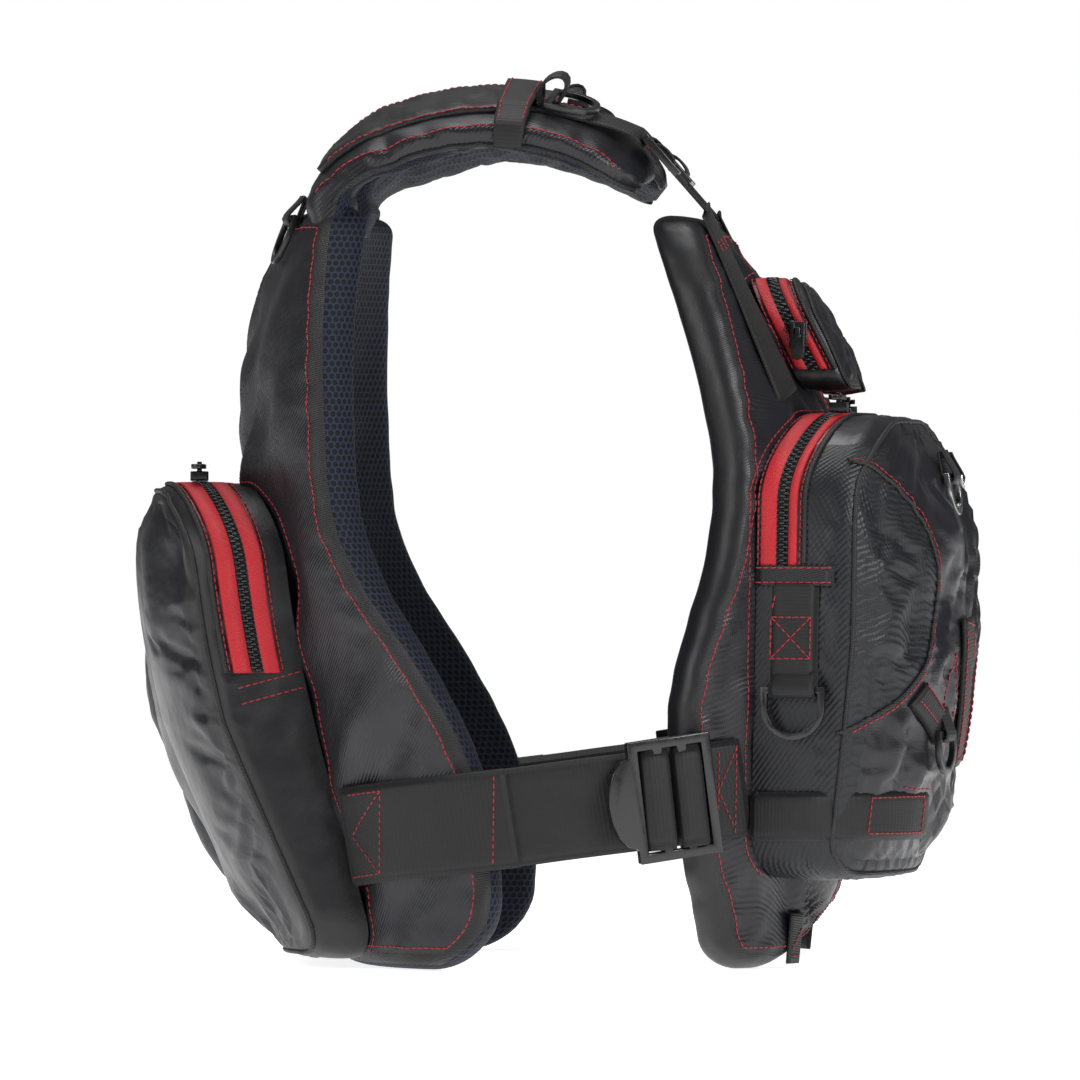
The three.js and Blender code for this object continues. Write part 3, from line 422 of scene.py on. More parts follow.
def resample(points, step):
    points = np.asarray(points, float)
    s = run_along(points)
    count = max(2, int(round(s[-1] / step)) + 1)
    t = np.linspace(0, s[-1], count)
    return np.stack([np.interp(t, s, points[:, i]) for i in range(points.shape[1])], -1)


def rounded(points, step=3.0, passes=3):
    """A corner-cut, evenly spaced version of a polyline of pattern or space points."""
    p = np.asarray(points, float)
    for _ in range(passes):
        q, r = p[:-1] * 0.75 + p[1:] * 0.25, p[:-1] * 0.25 + p[1:] * 0.75
        p = np.concatenate([p[:1], np.stack([q, r], 1).reshape(-1, p.shape[1])[1:-1], p[-1:]])
    return resample(p, step)


def sweep(path, side, up, profile, closed=False, scale=None):
    """Points and faces of a profile (side, up pairs) carried along a path."""
    path, side, up, profile = (np.asarray(v, float) for v in (path, side, up, profile))
    grown = np.ones(len(path)) if scale is None else np.asarray(scale, float)
    points = path[:, None] + grown[:, None, None] * (
        side[:, None] * profile[None, :, :1] + up[:, None] * profile[None, :, 1:])
    n, m = len(path), len(profile)
    faces = []
    for i in range(n if closed else n - 1):
        first = i * m + np.arange(m)
        second = (i + 1) % n * m + np.arange(m)
        faces += band(first, second).tolist()
    if not closed:
        faces += [list(range(m - 1, -1, -1)), list(range((n - 1) * m, n * m))]
    return points.reshape(-1, 3), faces


def frames_along(path, hint, closed=False):
    """Side and up directions along a path, with up near the hint."""
    path = np.asarray(path, float)
    if closed:
        tangent = unit(np.roll(path, -1, 0) - np.roll(path, 1, 0))
    else:
        tangent = unit(np.gradient(path, axis=0))
    hint = np.broadcast_to(hint, path.shape)
    side = unit(np.cross(tangent, hint))
    return side, np.cross(side, tangent)


def circle(radius, count=8):
    t = np.arange(count) * 2 * np.pi / count
    return np.stack([radius * np.cos(t), radius * np.sin(t)], -1)


class Collected:
    """Many small closed solids gathered into one mesh."""

    def __init__(self):
        self.points, self.faces, self.count = [], [], 0

    def add(self, points, faces):
        self.points.append(np.asarray(points, float))
        self.faces += [[int(i) + self.count for i in f] for f in faces]
        self.count += len(points)

    def make(self, name, material):
        return mesh_object(name, np.concatenate(self.points), self.faces, [material])


def mirrored(obj, name):
    """The left copy of a right-hand piece."""
    data = obj.data.copy()
    data.transform(Matrix.Scale(-1, 4, (1, 0, 0)))
    data.flip_normals()
    return add_object(name, data)


def settle(obj, body, nodes=(), blend=None, both=True):
    """Rides a piece on its body and its left copy on the left body, or with a blend bakes it in
    place.
    """
    copies = [(obj, "")]
    if both:
        base = obj.name
        obj.name = obj.data.name = base + "_right"
        copies = [(obj, "_right"), (mirrored(obj, base + "_left"), "_left")]
    for piece, tail in copies:
        named = [n + tail for n in nodes]
        if blend:
            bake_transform(piece)
        else:
            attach(piece, body if body == "back" else body + tail)
        if named:
            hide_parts(*named)


def points_of(obj):
    """The corners of an object's mesh, in metres."""
    co = np.zeros(len(obj.data.vertices) * 3)
    obj.data.vertices.foreach_get("co", co)
    return co.reshape(-1, 3)


def surface_of(obj):
    """A lookup tree over an object's mesh, in millimetres."""
    faces = [list(p.vertices) for p in obj.data.polygons]
    return BVHTree.FromPolygons((points_of(obj) / MM).tolist(), faces)


def laid_on(points, tree, lift):
    """Points moved onto a surface, and its normals there."""
    placed, normals = [], []
    for p in np.asarray(points, float):
        at, normal, _, _ = tree.find_nearest(Vector(p))
        placed.append(at + normal * lift)
        normals.append(normal)
    return np.array(placed), np.array(normals)


def stitch(into, path, normals, length=3.0, gap=0.8, radius=0.4):
    """Stitches along a path of points in space."""
    s = run_along(path)
    profile = circle(radius, 5)

    def at(t, v):
        return np.stack([np.interp(t, s, v[:, i]) for i in range(3)], -1)

    for begin in np.arange(0, s[-1] - 0.6 * length, length + gap):
        t = np.linspace(begin, min(begin + length, s[-1]), 4)
        run, up = at(t, path), unit(at(t, normals))
        side, _ = frames_along(run, up)
        run = run + up * (np.array([-0.25, 0.15, 0.15, -0.25]) * radius)[:, None]
        into.add(*sweep(run, side, up, profile, scale=[0.6, 1, 1, 0.6]))


THREAD = {"back": Collected(), "front": Collected(), "back_middle": Collected()}
STITCH_STEP = 1.5  # between the points of a seam


def stitch_on(group, path, tree, **sizes):
    """Stitches laid on a surface near a path of points in space."""
    placed, normals = laid_on(resample(path, STITCH_STEP), tree, 0.2)
    stitch(THREAD[group], placed, normals, **sizes)


def flat_stitch(group, pattern, out, pouch=False, **sizes):
    """Stitches on a strap that lies at one distance out, along (around, z) points."""
    a, z = resample(pattern, STITCH_STEP).T
    path = on_torso(a, z, out, pouch)
    stitch(THREAD[group], path, on_torso(a, z, out + 1, pouch) - path, **sizes)


def piping(name, path, normals, radius, closed=False):
    side, up = frames_along(path, normals, closed)
    points, faces = sweep(path, side, up, circle(radius), closed=closed)
    return mesh_object(name, points, faces, ["binding"])


SIM_FRAMES = 20


def simulate(obj, held, pressure, shrink, cap):
    """Swells and wrinkles a closed cloth piece; held is each vertex's hold, from 0 to 1."""
    rest = points_of(obj)
    group = obj.vertex_groups.new(name="held")
    held = np.round(held, 1)
    for step in np.unique(held):
        group.add(np.nonzero(held == step)[0].tolist(), float(step), "REPLACE")
    modifier = obj.modifiers.new("cloth", "CLOTH")
    settings = modifier.settings
    settings.quality = 6
    settings.mass = 0.25
    settings.tension_stiffness = settings.compression_stiffness = 30
    settings.shear_stiffness = 15
    settings.bending_stiffness = 0.4
    settings.air_damping = 4
    settings.vertex_group_mass = "held"
    settings.use_pressure = True
    settings.uniform_pressure_force = pressure
    settings.shrink_min = settings.shrink_max = shrink
    settings.effector_weights.gravity = 0
    modifier.collision_settings.use_collision = False
    modifier.point_cache.frame_start, modifier.point_cache.frame_end = 1, SIM_FRAMES
    for frame_number in range(1, SIM_FRAMES + 1):
        bpy.context.scene.frame_set(frame_number)
    shaped = obj.evaluated_get(bpy.context.evaluated_depsgraph_get())
    moved = np.nan_to_num(points_of(shaped), nan=0.0)
    obj.modifiers.remove(modifier)
    obj.vertex_groups.clear()
    bpy.context.scene.frame_set(1)
    shift = moved - rest
    length = np.linalg.norm(shift, axis=1, keepdims=True)
    shift *= np.minimum(1, cap * MM / np.maximum(length, 1e-9))
    obj.data.vertices.foreach_set("co", (rest + shift).ravel())
    obj.data.update()


# ------------------------------------------------------------------ panels


def corner_inset(height, radius):
    """How far a round corner cuts in at a height above its foot."""
    reach = radius - np.clip(height, 0, radius)
    return radius - np.sqrt(np.maximum(radius * radius - reach * reach, 0))


def spaced(low, high, first, last, step):
    """Heights that crowd round two rounded ends."""
    bend = 1 - np.cos(np.linspace(0, np.pi / 2, 9))[:-1]
    middle = np.linspace(low + first, high - last, max(4, int((high - low) / step)))
    return np.concatenate([low + first * bend, middle, (high - last * bend)[::-1]])


EDGE_ROUND = 11.0
PANEL_MIDDLE = 12.5  # the middle of the foam, out from the lining
SEAM_IN = 9  # from a panel's edge to the seam of its wall
EDGE_UNEVEN = 0.15  # how far a sewn edge wanders
EDGE_STEPS = np.array([0, 0.15, 0.6, 1.4, 2.6, 4.2, 6.2, 8.6, 11.5])


def edge_fall(distance):
    """Share of a panel's full thickness at a distance in from its edge."""
    t = np.clip(distance / EDGE_ROUND, 0, 1)
    return (1 - (1 - t) ** 2.5) ** (1 / 2.5)


def columns_between(start, stop, count):
    """Positions across each row, which crowd at both edges."""
    width = stop - start
    squeeze = np.minimum(1, width / (2.4 * EDGE_STEPS[-1]))[:, None]
    near = start[:, None] + EDGE_STEPS[None] * squeeze
    far = stop[:, None] - EDGE_STEPS[None, ::-1] * squeeze
    share = np.linspace(0, 1, count)[1:-1]
    inner = near[:, -1:] + (far[:, :1] - near[:, -1:]) * share[None]
    return np.concatenate([near, inner, far], 1)


def panel(name, low, high, edges, foot, foot_both, top, folds_of, wall, columns=70):
    """A foam panel in its fabric shell: crowned faces, a rounded wall and soft creases."""
    # Rows crowd at both ends, to round the hem and the top edge.
    z = spaced(low, high, foot, top, 4.0)
    z = np.unique(np.concatenate([z, low + EDGE_STEPS, high - EDGE_STEPS]))
    start, stop = edges(z)
    at_foot, at_top = corner_inset(z - low, foot), corner_inset(high - z, top)
    start = start + at_top + (at_foot if foot_both else 0)
    stop = stop - at_top - at_foot
    start = start + EDGE_UNEVEN * waves(z[:, None], 24, 12)
    stop = stop + EDGE_UNEVEN * waves(z[:, None], 24, 13)
    a = columns_between(start, stop, columns)
    zz = np.broadcast_to(z[:, None], a.shape)
    sideways = np.minimum(a - start[:, None], stop[:, None] - a)
    upright = np.minimum(zz - low, high - zz)
    fall = edge_fall(sideways) * edge_fall(upright)
    inside = np.minimum(sideways, upright)
    calm = np.clip((inside - SEAM_IN) / 25, 0, 1)
    near_seam = (np.exp(-np.clip(inside - SEAM_IN, 0, None) / 12)
                 * np.clip((inside - 3) / 6, 0, 1))
    pucker = near_seam * waves(pairs(a, zz), 17, 5) * 0.55
    outer = PANEL_MIDDLE + (SHELL - PANEL_MIDDLE) * fall + calm * folds_of(a, zz) + pucker
    inner = PANEL_MIDDLE - (PANEL_MIDDLE - 0.6) * fall + 0.4 * calm * waves(pairs(a, zz), 40, 9)
    cloths = [on_torso(a, zz, layer) for layer in (outer, inner)]
    rows, cols = a.shape
    faces = np.concatenate([grid_faces(rows, cols), grid_faces(rows, cols, rows * cols)])
    edge = (inside[:-1, :-1] + inside[1:, 1:]).ravel() / 2
    outside_slots = np.where(edge > 8.6, 0, np.where(edge > wall["binding_from"], 1, 2))
    inside_slots = np.where(edge > wall["lining_from"], 3, 2)
    # UV runs along the pattern rows by true length from the nearer edge.
    uvs = []
    for sign, cloth in zip((1, -1), cloths):
        run = np.cumsum(np.linalg.norm(np.diff(cloth, axis=1), axis=2), axis=1)
        run = np.concatenate([0 * run[:, :1], run], 1)
        run = np.minimum(run, run[:, -1:] - run)
        uvs.append(pairs(sign * run, zz).reshape(-1, 2))
    obj = mesh_object(name, np.concatenate(cloths).reshape(-1, 3), faces,
                      ["shell", "binding", wall["material"], "mesh"],
                      np.concatenate([outside_slots, inside_slots]), np.concatenate(uvs) * MM, 0.02)
    return obj, edge_loop(z, start, stop, inset=9.3)


def edge_loop(z, start, stop, inset):
    """Points in space round a panel, a little inside its edge."""
    keep = (z > z[0] + inset) & (z < z[-1] - inset)
    left, right = pairs(start[keep] + inset, z[keep]), pairs(stop[keep] - inset, z[keep])
    around, height = rounded(np.concatenate([left, right[::-1], left[:1]]), 2.0, 2).T
    return on_torso(around, height, SHELL)


BACK_HALF_WIDTH = [
    [0.0, 214], [0.09, 223], [0.17, 220], [0.26, 214], [0.33, 203], [0.42, 184],
    [0.5, 164], [0.59, 149], [0.74, 144], [0.87, 140], [1.0, 126],
]
FRONT_OUTER_EDGE = [
    [0.0, 152], [0.08, 160], [0.16, 168], [0.31, 176], [0.38, 174], [0.46, 166],
    [0.54, 157], [0.65, 152], [0.74, 156], [0.83, 161], [0.92, 166], [1.0, 166],
]
FRONT_INNER_EDGE = [
    [0.0, 122], [0.03, 98], [0.065, 68], [0.12, 12], [0.14, 9], [0.5, 9],
    [0.76, 9], [0.82, 18], [0.88, 38], [0.94, 72], [1.0, 104],
]
FRONT_TOP = PANEL_HEIGHT - 4


def back_edges(z):
    half = smooth(BACK_HALF_WIDTH, 1, z / PANEL_HEIGHT)
    return SPINE - half, SPINE + half


def front_edges(z):
    share = z / PANEL_HEIGHT
    return smooth(FRONT_INNER_EDGE, 1, share), smooth(FRONT_OUTER_EDGE, 1, share)


def back_folds(a, z):
    return 1.7 * folds(a - SPINE, z, 21, 42, -0.9) + 0.8 * waves(pairs(a, z), 70, 22)


def front_folds(a, z):
    return 1.9 * folds(a, z, 31, 36, 1.15) + 0.9 * waves(pairs(a, z), 60, 32)


back_panel, back_loop = panel(
    "back_panel", 0, PANEL_HEIGHT, back_edges, 26, True, 12, back_folds,
    {"material": "mesh", "binding_from": 2.6, "lining_from": 0}, columns=110)
front_panel, front_loop = panel(
    "front_panel", 0, FRONT_TOP, front_edges, 18, False, 10, front_folds,
    {"material": "wall", "binding_from": 6.4, "lining_from": 8.0}, columns=52)
back_tree = surface_of(back_panel)
front_tree = surface_of(front_panel)
stitch_on("back_middle", back_loop, back_tree)
stitch_on("front", front_loop, front_tree)

# ------------------------------------------------------------------ pouches

GUSSET_BULGE = 0.7  # how far a gusset swells beyond its outline


class Pouch:
    """A soft box on a panel, over its own share of the pattern."""

    def __init__(self, low, high, edges, corner, gusset, crown, foot_share):
        self.low, self.high, self.edges, self.corner = low, high, edges, corner
        self.gusset, self.crown, self.foot_share = gusset, crown, foot_share

    def outline(self, z, inset=0.0):
        start, stop = self.edges(z)
        curve = corner_inset(self.high - inset - z, self.corner - inset)
        curve = curve + corner_inset(z - self.low - inset, self.corner / 2 - inset)
        return start + inset + curve, stop - inset - curve

    def depth(self, z):
        up = (z - self.low) / (self.high - self.low)
        share = self.foot_share + (1 - self.foot_share) * np.minimum(1, 2 * up)
        return self.gusset * share

    def face(self, a, z):
        start, stop = self.edges(z)
        share = np.clip((a - start) / (stop - start), 0, 1)
        up = np.clip((z - self.low) / (self.high - self.low), 0, 1)
        swell = (1 - (2 * share - 1) ** 4) * (1 - (2 * up - 1) ** 4)
        return FACE + self.depth(z) + self.crown * swell

    def on_face(self, a, z, lift=0.0):
        a, z = np.asarray(a, float), np.asarray(z, float)
        return on_torso(a, z, self.face(a, z) + lift, True)

    def lattice(self, inset, shares_up, shares_across):
        low, high = self.low + inset, self.high - inset
        z = low + (high - low) * shares_up
        start, stop = self.outline(z, inset)
        a = start[:, None] + (stop - start)[:, None] * shares_across[None]
        return a, np.broadcast_to(z[:, None], a.shape)

    def edge_path(self, lift, begin):
        """(around, z) along the outline from a height on one side, over the top."""
        turn = 1 - np.sin(np.linspace(0, np.pi / 2, 24))
        z = np.unique(np.concatenate([np.linspace(begin, self.high - self.corner, 60),
                                      self.high - self.corner * turn]))
        start, stop = self.outline(z)
        p = resample(np.concatenate([pairs(stop, z), pairs(start, z)[::-1]]), 2.0)
        return p + lift * turned(unit(np.gradient(p, axis=0)))


def pouch_mesh(name, pouch, rows, columns, round_edge, slot_of, wrinkle, seed, side="twill",
               hood_from=math.inf):
    """A pouch's face with a rounded edge, its gusset and its back, as one closed mesh."""
    up = spaced(0, 1, 0.18, 0.22, 1 / rows)
    even = np.linspace(0, 1, columns)
    across = (1 - np.cos(np.linspace(0, np.pi, columns))) / 2 * 0.5 + even * 0.5
    shape = (len(up), columns)
    rim = rim_of(*shape)
    a, z = pouch.lattice(round_edge, up, across)
    start, stop = pouch.outline(z[:, 0], round_edge)
    inside = np.minimum(np.minimum(a - start[:, None], stop[:, None] - a),
                        np.minimum(z - pouch.low, pouch.high - z) - round_edge)
    calm = np.clip(inside / 22, 0, 1)
    top = pouch.face(a, z) + calm * wrinkle(a, z)
    pucker = np.clip(inside / 5, 0, 1) * np.exp(-inside / 10) * 0.7
    top = top + pucker * waves(pairs(a, z), 15, seed)
    blocks = [on_torso(a, z, top, True).reshape(-1, 3)]
    faces = grid_faces(*shape).tolist()
    slots = slot_of(a, z)[:-1, :-1].ravel().tolist()
    rim_top = top.ravel()[rim]
    uvs = [pairs(a, z).reshape(-1, 2)]
    previous, count = rim, a.size
    # How far in from the outline, how far under the face, and share of the way to the panel.
    steps = [(round_edge * (1 - math.sin(t)), round_edge * (1 - math.cos(t)), 0)
             for t in np.radians([25, 50, 72, 90])]
    steps += [(-GUSSET_BULGE * math.sin(math.pi * s), round_edge, s)
              for s in np.linspace(0, 1, 15)[1:]]
    for inset, drop, share in steps:
        ia, iz = pouch.lattice(inset, up, across)
        ia, iz = ia.ravel()[rim], iz.ravel()[rim]
        full = rim_top - round_edge - FACE
        out = rim_top - drop - full * share
        puff = 0.25 * waves(pairs(ia + out, iz), 26, seed + 3) * math.sin(math.pi * share)
        p = on_torso(ia, iz, out, True)
        centre = on_torso(np.full_like(ia, ia.mean()), iz * 0 + iz.mean(), out, True)
        away = (p - centre) * np.array([1, 0.2, 1])
        blocks.append(p + unit(away) * puff[:, None])
        ring = count + np.arange(len(rim))
        faces += band(previous, ring).tolist()
        slots += [0 if height > hood_from else 1 for height in iz]
        uvs.append(pairs(ia + drop + full * share, iz))
        previous, count = ring, count + len(rim)
    ba, bz = pouch.lattice(0, up, across)
    blocks.append(on_torso(ba, bz, FACE - 0.4, True).reshape(-1, 3))
    faces += (grid_faces(*shape) + count)[:, ::-1].tolist()
    slots += [1] * ((shape[0] - 1) * (shape[1] - 1))
    uvs.append(pairs(ba, bz).reshape(-1, 2))
    faces += band(previous, count + rim).tolist()
    slots += [1] * len(rim)
    return mesh_object(name, np.concatenate(blocks), faces, ["satin", side], slots,
                       np.concatenate(uvs) * MM, weld=0.02)


def near_lines(a, z, lines, reach):
    """1 on some lines of pattern points, falling to 0 beyond a reach from them."""
    best = np.full(np.shape(a), 1e9)
    for line in lines:
        for x, y in resample(np.asarray(line, float), 3.0):
            best = np.minimum(best, np.hypot(a - x, z - y))
    return np.clip(1.7 - best / reach, 0, 1)


BACK_POUCH_HALF = [[0, 168], [70, 146], [120, 131], [170, 120], [246, 112]]
LOWER_START, LOWER_STOP = 20, 143


def back_pouch_edges(z):
    half = smooth(BACK_POUCH_HALF, 1, z)
    return SPINE - half, SPINE + half


back_pouch_shape = Pouch(5, 246, back_pouch_edges, 42, 44, 15, 0.55)
lower_shape = Pouch(46, 281, lambda z: (LOWER_START + 0 * z, LOWER_STOP + 0 * z), 44, 46, 14, 0.8)
chest_shape = Pouch(295, 351, lambda z: (46 + 0.3 * (z - 295), 92 + 0.3 * (z - 295)),
                    20, 24, 5, 0.9)


def back_wrinkle(a, z):
    return 2.0 * folds(a - SPINE, z, 41, 55, 1.25) + 1.2 * waves(pairs(a, z), 90, 42)


# The twill inlay on the front pouch's face ends at a curved seam: (around, z).
INLAY = [[143, 262], [130, 252], [114, 235], [103, 210], [100, 185], [106, 158], [120, 138],
         [143, 120]]
HOOD_FROM = 262  # the smooth hood over the top begins where the inlay ends
TOOL_STRAP = [[57, 102], [60, 128], [64, 152], [67, 178]]
RING_STRAP = [[112, 140], [98, 128], [89, 119]]
POCKET_HEIGHT = 78
UPPER_RING_AT = (71.66, 250.45)
LOWER_RING_AT = (88.88, 118.85)
# What is sewn to the front pouch's face holds its cloth down.
LOWER_SEWN = [TOOL_STRAP, RING_STRAP, [[134, POCKET_HEIGHT], [89, POCKET_HEIGHT]],
              [UPPER_RING_AT, (UPPER_RING_AT[0], 262)], [LOWER_RING_AT, (96, 126)]]


def lower_calm(a, z):
    sewn = near_lines(a, z, LOWER_SEWN, 13)
    return 1 - np.maximum(sewn, 0.6 * near_lines(a, z, [INLAY], 6))


def lower_wrinkle(a, z):
    free = 1.9 * folds(a, z, 51, 38, 1.9) + 1.0 * waves(pairs(a, z), 60, 52)
    return free * (0.15 + 0.85 * lower_calm(a, z))


def lower_slots(a, z):
    line = smooth(np.array(INLAY)[::-1][:, ::-1], 1, z)
    return np.where((a > line) & (z > 118) & (z < HOOD_FROM), 1, 0)


def chest_wrinkle(a, z):
    return 0.7 * waves(pairs(a, z), 25, 81)


def plain(a, z):
    return 0 * a


back_pouch = pouch_mesh("back_pouch_cloth", back_pouch_shape, 60, 74, 9, plain, back_wrinkle,
                        61, side="wall")
lower_pouch = pouch_mesh("front_pouch", lower_shape, 56, 46, 9, lower_slots, lower_wrinkle, 71,
                         hood_from=HOOD_FROM)
chest_pouch = pouch_mesh("chest_pouch_cloth", chest_shape, 22, 24, 5, plain, chest_wrinkle, 82,
                         side="wall")


FREE_FROM, FREE_TO = 4.0, 16.0  # in from the seam, where a pouch's face comes free


def face_freedom(co, pouch, position):
    """0 on a pouch's sides and back, rising to 1 in the middle of its face."""
    z = np.linspace(pouch.low + 1, pouch.high - 1, 160)
    start, stop = pouch.outline(z)
    ring = np.concatenate([pairs(start, z), pairs(stop, z)[::-1]])
    ring = resample(np.concatenate([ring, ring[:1]]), 3.0)
    gap = np.full(len(co), np.inf)
    for point in pouch.on_face(ring[:, 0], ring[:, 1]):
        gap = np.minimum(gap, np.linalg.norm(co - point, axis=1))
    front = np.linalg.norm(co - pouch.on_face(*position), axis=1) < 9
    return np.clip((gap - FREE_FROM) / (FREE_TO - FREE_FROM), 0, 1) * front


def pouch_position(co, pouch):
    """Nearly where points lie over a pouch's face, as (around, z)."""
    z = np.clip(co[:, 2], pouch.low, pouch.high)
    a = np.linspace(*pouch.edges(np.array([(pouch.low + pouch.high) / 2])), 90).ravel()
    best, at = np.full(len(co), np.inf), np.zeros(len(co))
    for value in a:
        distance = np.linalg.norm(co - pouch.on_face(np.full(len(co), value), z), axis=1)
        at = np.where(distance < best, value, at)
        best = np.minimum(best, distance)
    return at, z


for piece, shape, calm, most in ((back_pouch, back_pouch_shape, None, 3.6),
                                 (lower_pouch, lower_shape, lower_calm, 3.0),
                                 (chest_pouch, chest_shape, None, 2.0)):
    corners = points_of(piece) / MM
    position = pouch_position(corners, shape)
    free = face_freedom(corners, shape, position)
    if calm:
        free = free * calm(*position)
    simulate(piece, 1 - free, pressure=1.6, shrink=-0.03, cap=most)
back_pouch_tree = surface_of(back_pouch)
lower_tree = surface_of(lower_pouch)
chest_tree = surface_of(chest_pouch)


PROBE = 25.0


def draped(a, z):
    """A smooth height over the front pouch's drawn face, for each row of a strap on its cloth."""
    inner, outer = lower_shape.on_face(a, z), lower_shape.on_face(a, z, PROBE)
    rise = np.zeros(np.shape(a))
    for i in np.ndindex(rise.shape):
        down = Vector(unit(inner[i] - outer[i]))
        hit, _, _, distance = lower_tree.ray_cast(Vector(outer[i]), down, 2 * PROBE)
        rise[i] = PROBE - distance if hit else 0
    rise = rise.max(axis=1)
    for level in (np.max, np.mean):
        padded = np.pad(rise, 3, mode="edge")
        rise = level([padded[i:i + len(rise)] for i in range(7)], axis=0)
    return rise


# ------------------------------------------------------------------ zips


TAPE_LIFT = 0.8  # from a gusset to the underside of its zip
BLOCK_FACES = [[3, 2, 1, 0], [4, 5, 6, 7], [0, 1, 5, 4], [1, 2, 6, 5], [2, 3, 7, 6], [3, 0, 4, 7]]


def zip_tape(name, group, pouch, begin, inner, width, red, far_red):
    """A zip on a gusset: red tapes, black teeth between them, piping and stitches beside them."""
    path = pouch.edge_path(0, begin)
    away = turned(unit(np.gradient(path, axis=0)))

    def at(lift, out):
        p = path + away * lift
        return on_torso(p[:, 0], p[:, 1], out, True)

    # Across the tape: distance out from its near edge, lift off the gusset.
    profile = [(0, 0.0), (0.2, 0.6), (1.0, 1.0), (red, 1.15), (red + 0.4, 0.5),
               (width - far_red - 0.4, 0.5), (width - far_red, 1.15), (width - 0.8, 1.0),
               (width - 0.2, 0.6), (width, 0.0)]
    grid = np.stack([at(TAPE_LIFT + lift, inner + across) for across, lift in profile], 1)
    n, m = grid.shape[:2]
    faces = []
    for i in range(n - 1):
        ring = i * m + np.arange(m)
        faces += band(ring, ring + m).tolist()
    faces += [list(range(m)), list(range((n - 1) * m, n * m))]
    # The middle of the profile, between the two reds, is dark.
    slots = [1 if j in (3, 4, 5) else 0 for j in range(m)] * (n - 1) + [0, 0]
    tape = mesh_object(name, grid.reshape(-1, 3), faces, ["red", "binding"], slots)
    teeth = Collected()
    row = resample(path, 1.35)
    off = turned(unit(np.gradient(row, axis=0)))
    middle = inner + (red + width - far_red) / 2
    for i in range(len(row) - 1):
        along = on_torso(*row[i + 1], middle, True) - on_torso(*row[i], middle, True)
        base = row[i] + off[i] * (TAPE_LIFT + 0.4)
        high = row[i] + off[i] * (TAPE_LIFT + 1.5)  # just under the slider
        shift = 1.0 if i % 2 else -1.0
        span = (middle + shift - 2.1, middle + shift + 2.1)
        corners = [on_torso(*base, span[0], True), on_torso(*base, span[1], True),
                   on_torso(*high, span[1] - 0.5, True), on_torso(*high, span[0] + 0.5, True)]
        half = unit(along) * 0.42
        teeth.add([c - half for c in corners] + [c + half for c in corners], BLOCK_FACES)
    tooth_row = teeth.make(name.replace("tape", "teeth"), "teeth")
    for across in (-1.6, width + 1.6):
        line = at(TAPE_LIFT, inner + across)
        stitch(THREAD[group], line + unit(line - at(0, inner + across)) * 0.2,
               at(1.5, inner + across) - line)
    cord_line = at(0.9, inner + width + 3.6)
    cord_up = at(2, inner + width + 3.6) - cord_line
    trim = piping(name.replace("tape", "piping"), cord_line, cord_up, 1.3)
    return tape, tooth_row, trim


back_zip = zip_tape("back_zip_tape_cloth", "back_middle", back_pouch_shape, 150, FACE + 12,
                    24, 8.8, 8.8)
lower_zip = zip_tape("front_pouch_zip_tape", "front", lower_shape, 205, FACE + 3, 19, 9, 3.6)
chest_zip = zip_tape("chest_pouch_zip_tape", "front", chest_shape, 306, FACE + 2, 16.5, 6, 4)


def front_zip():
    """The front zip's half: a flat tape beside the opening, with a row of teeth at its edge."""
    z = np.linspace(52, 292, 90)
    across = np.array([0.9, 1.6, 5, 9, 14, 14.8])
    lift = np.array([0.6, 1.3, 1.4, 1.5, 1.4, 0.3])
    top = on_torso(across[None], z[:, None], FACE + lift[None])
    under = on_torso(across[None], z[:, None], FACE + 0 * lift[None])
    points = np.concatenate([top.reshape(-1, 3), under.reshape(-1, 3)])
    tape = mesh_object("front_zip_cloth", points, sheet_faces(top.shape[:2]), ["binding"])
    teeth = Collected()
    for height in np.arange(54, 278, 2.7):
        block = [on_torso(a, h, FACE + o) for h in (height - 0.5, height + 0.5)
                 for a, o in ((0.45, 0.9), (3.0, 0.9), (2.8, 2.4), (0.5, 2.4))]
        teeth.add(block, BLOCK_FACES)
    return tape, teeth.make("front_zip_teeth", "teeth")


front_zip_cloth, front_zip_teeth = front_zip()

# ------------------------------------------------------------------ webbing

BELT_WIDTH = 50
STRAP_WIDTH = 25
WEBBING = 2.0  # thickness


def strap_grid(path, width, columns):
    """A strap's pattern points, its run along, its positions across and its share of thickness."""
    path = rounded(path, 3.0, 2)
    across = -turned(unit(np.gradient(path, axis=0)))
    share = np.linspace(-0.5, 0.5, columns + 1)
    p = path[:, None] + across[:, None] * (share * width)[None, :, None]
    edge = soft_edge((0.5 - np.abs(share)) * width)
    return p[..., 0], p[..., 1], run_along(path)[:, None], (share * width)[None], edge[None]


def strap_mesh(name, path, width, inner, thickness=WEBBING, material="webbing"):
    """Webbing on the pattern along (around, z) points; inner is its distance out."""
    a, z, run, across, edge = strap_grid(path, width, 10)
    middle, half = inner + thickness / 2, thickness / 2 * edge
    return sheet(name, on_torso(a, z, middle + half), on_torso(a, z, middle - half), run, across,
                 material)


def belt_line(a):
    """Height of the belt's middle, which falls a little towards the back."""
    return 86 - 0.145 * (np.asarray(a, float) - 196)


def belt_points(start, stop, steps):
    a = np.linspace(start, stop, steps)
    return pairs(a, belt_line(a))


BELT_SPLIT = SIDE - 3
BACK_BELT_END = SPINE - 152
belt = strap_mesh("waist_belt", belt_points(147, BACK_BELT_END, 60), BELT_WIDTH, FACE)
# The fold where the belt doubles back on itself over the back panel.
belt_fold = strap_mesh("waist_belt_fold", belt_points(BELT_SPLIT + 16, BACK_BELT_END, 20),
                       BELT_WIDTH + 0.6, FACE + WEBBING + 0.05, thickness=1.5)
BELT_TOP = FACE + WEBBING + 0.2
FOLD_TOP = BELT_TOP + 1.5
BOX_END = BACK_BELT_END - 4


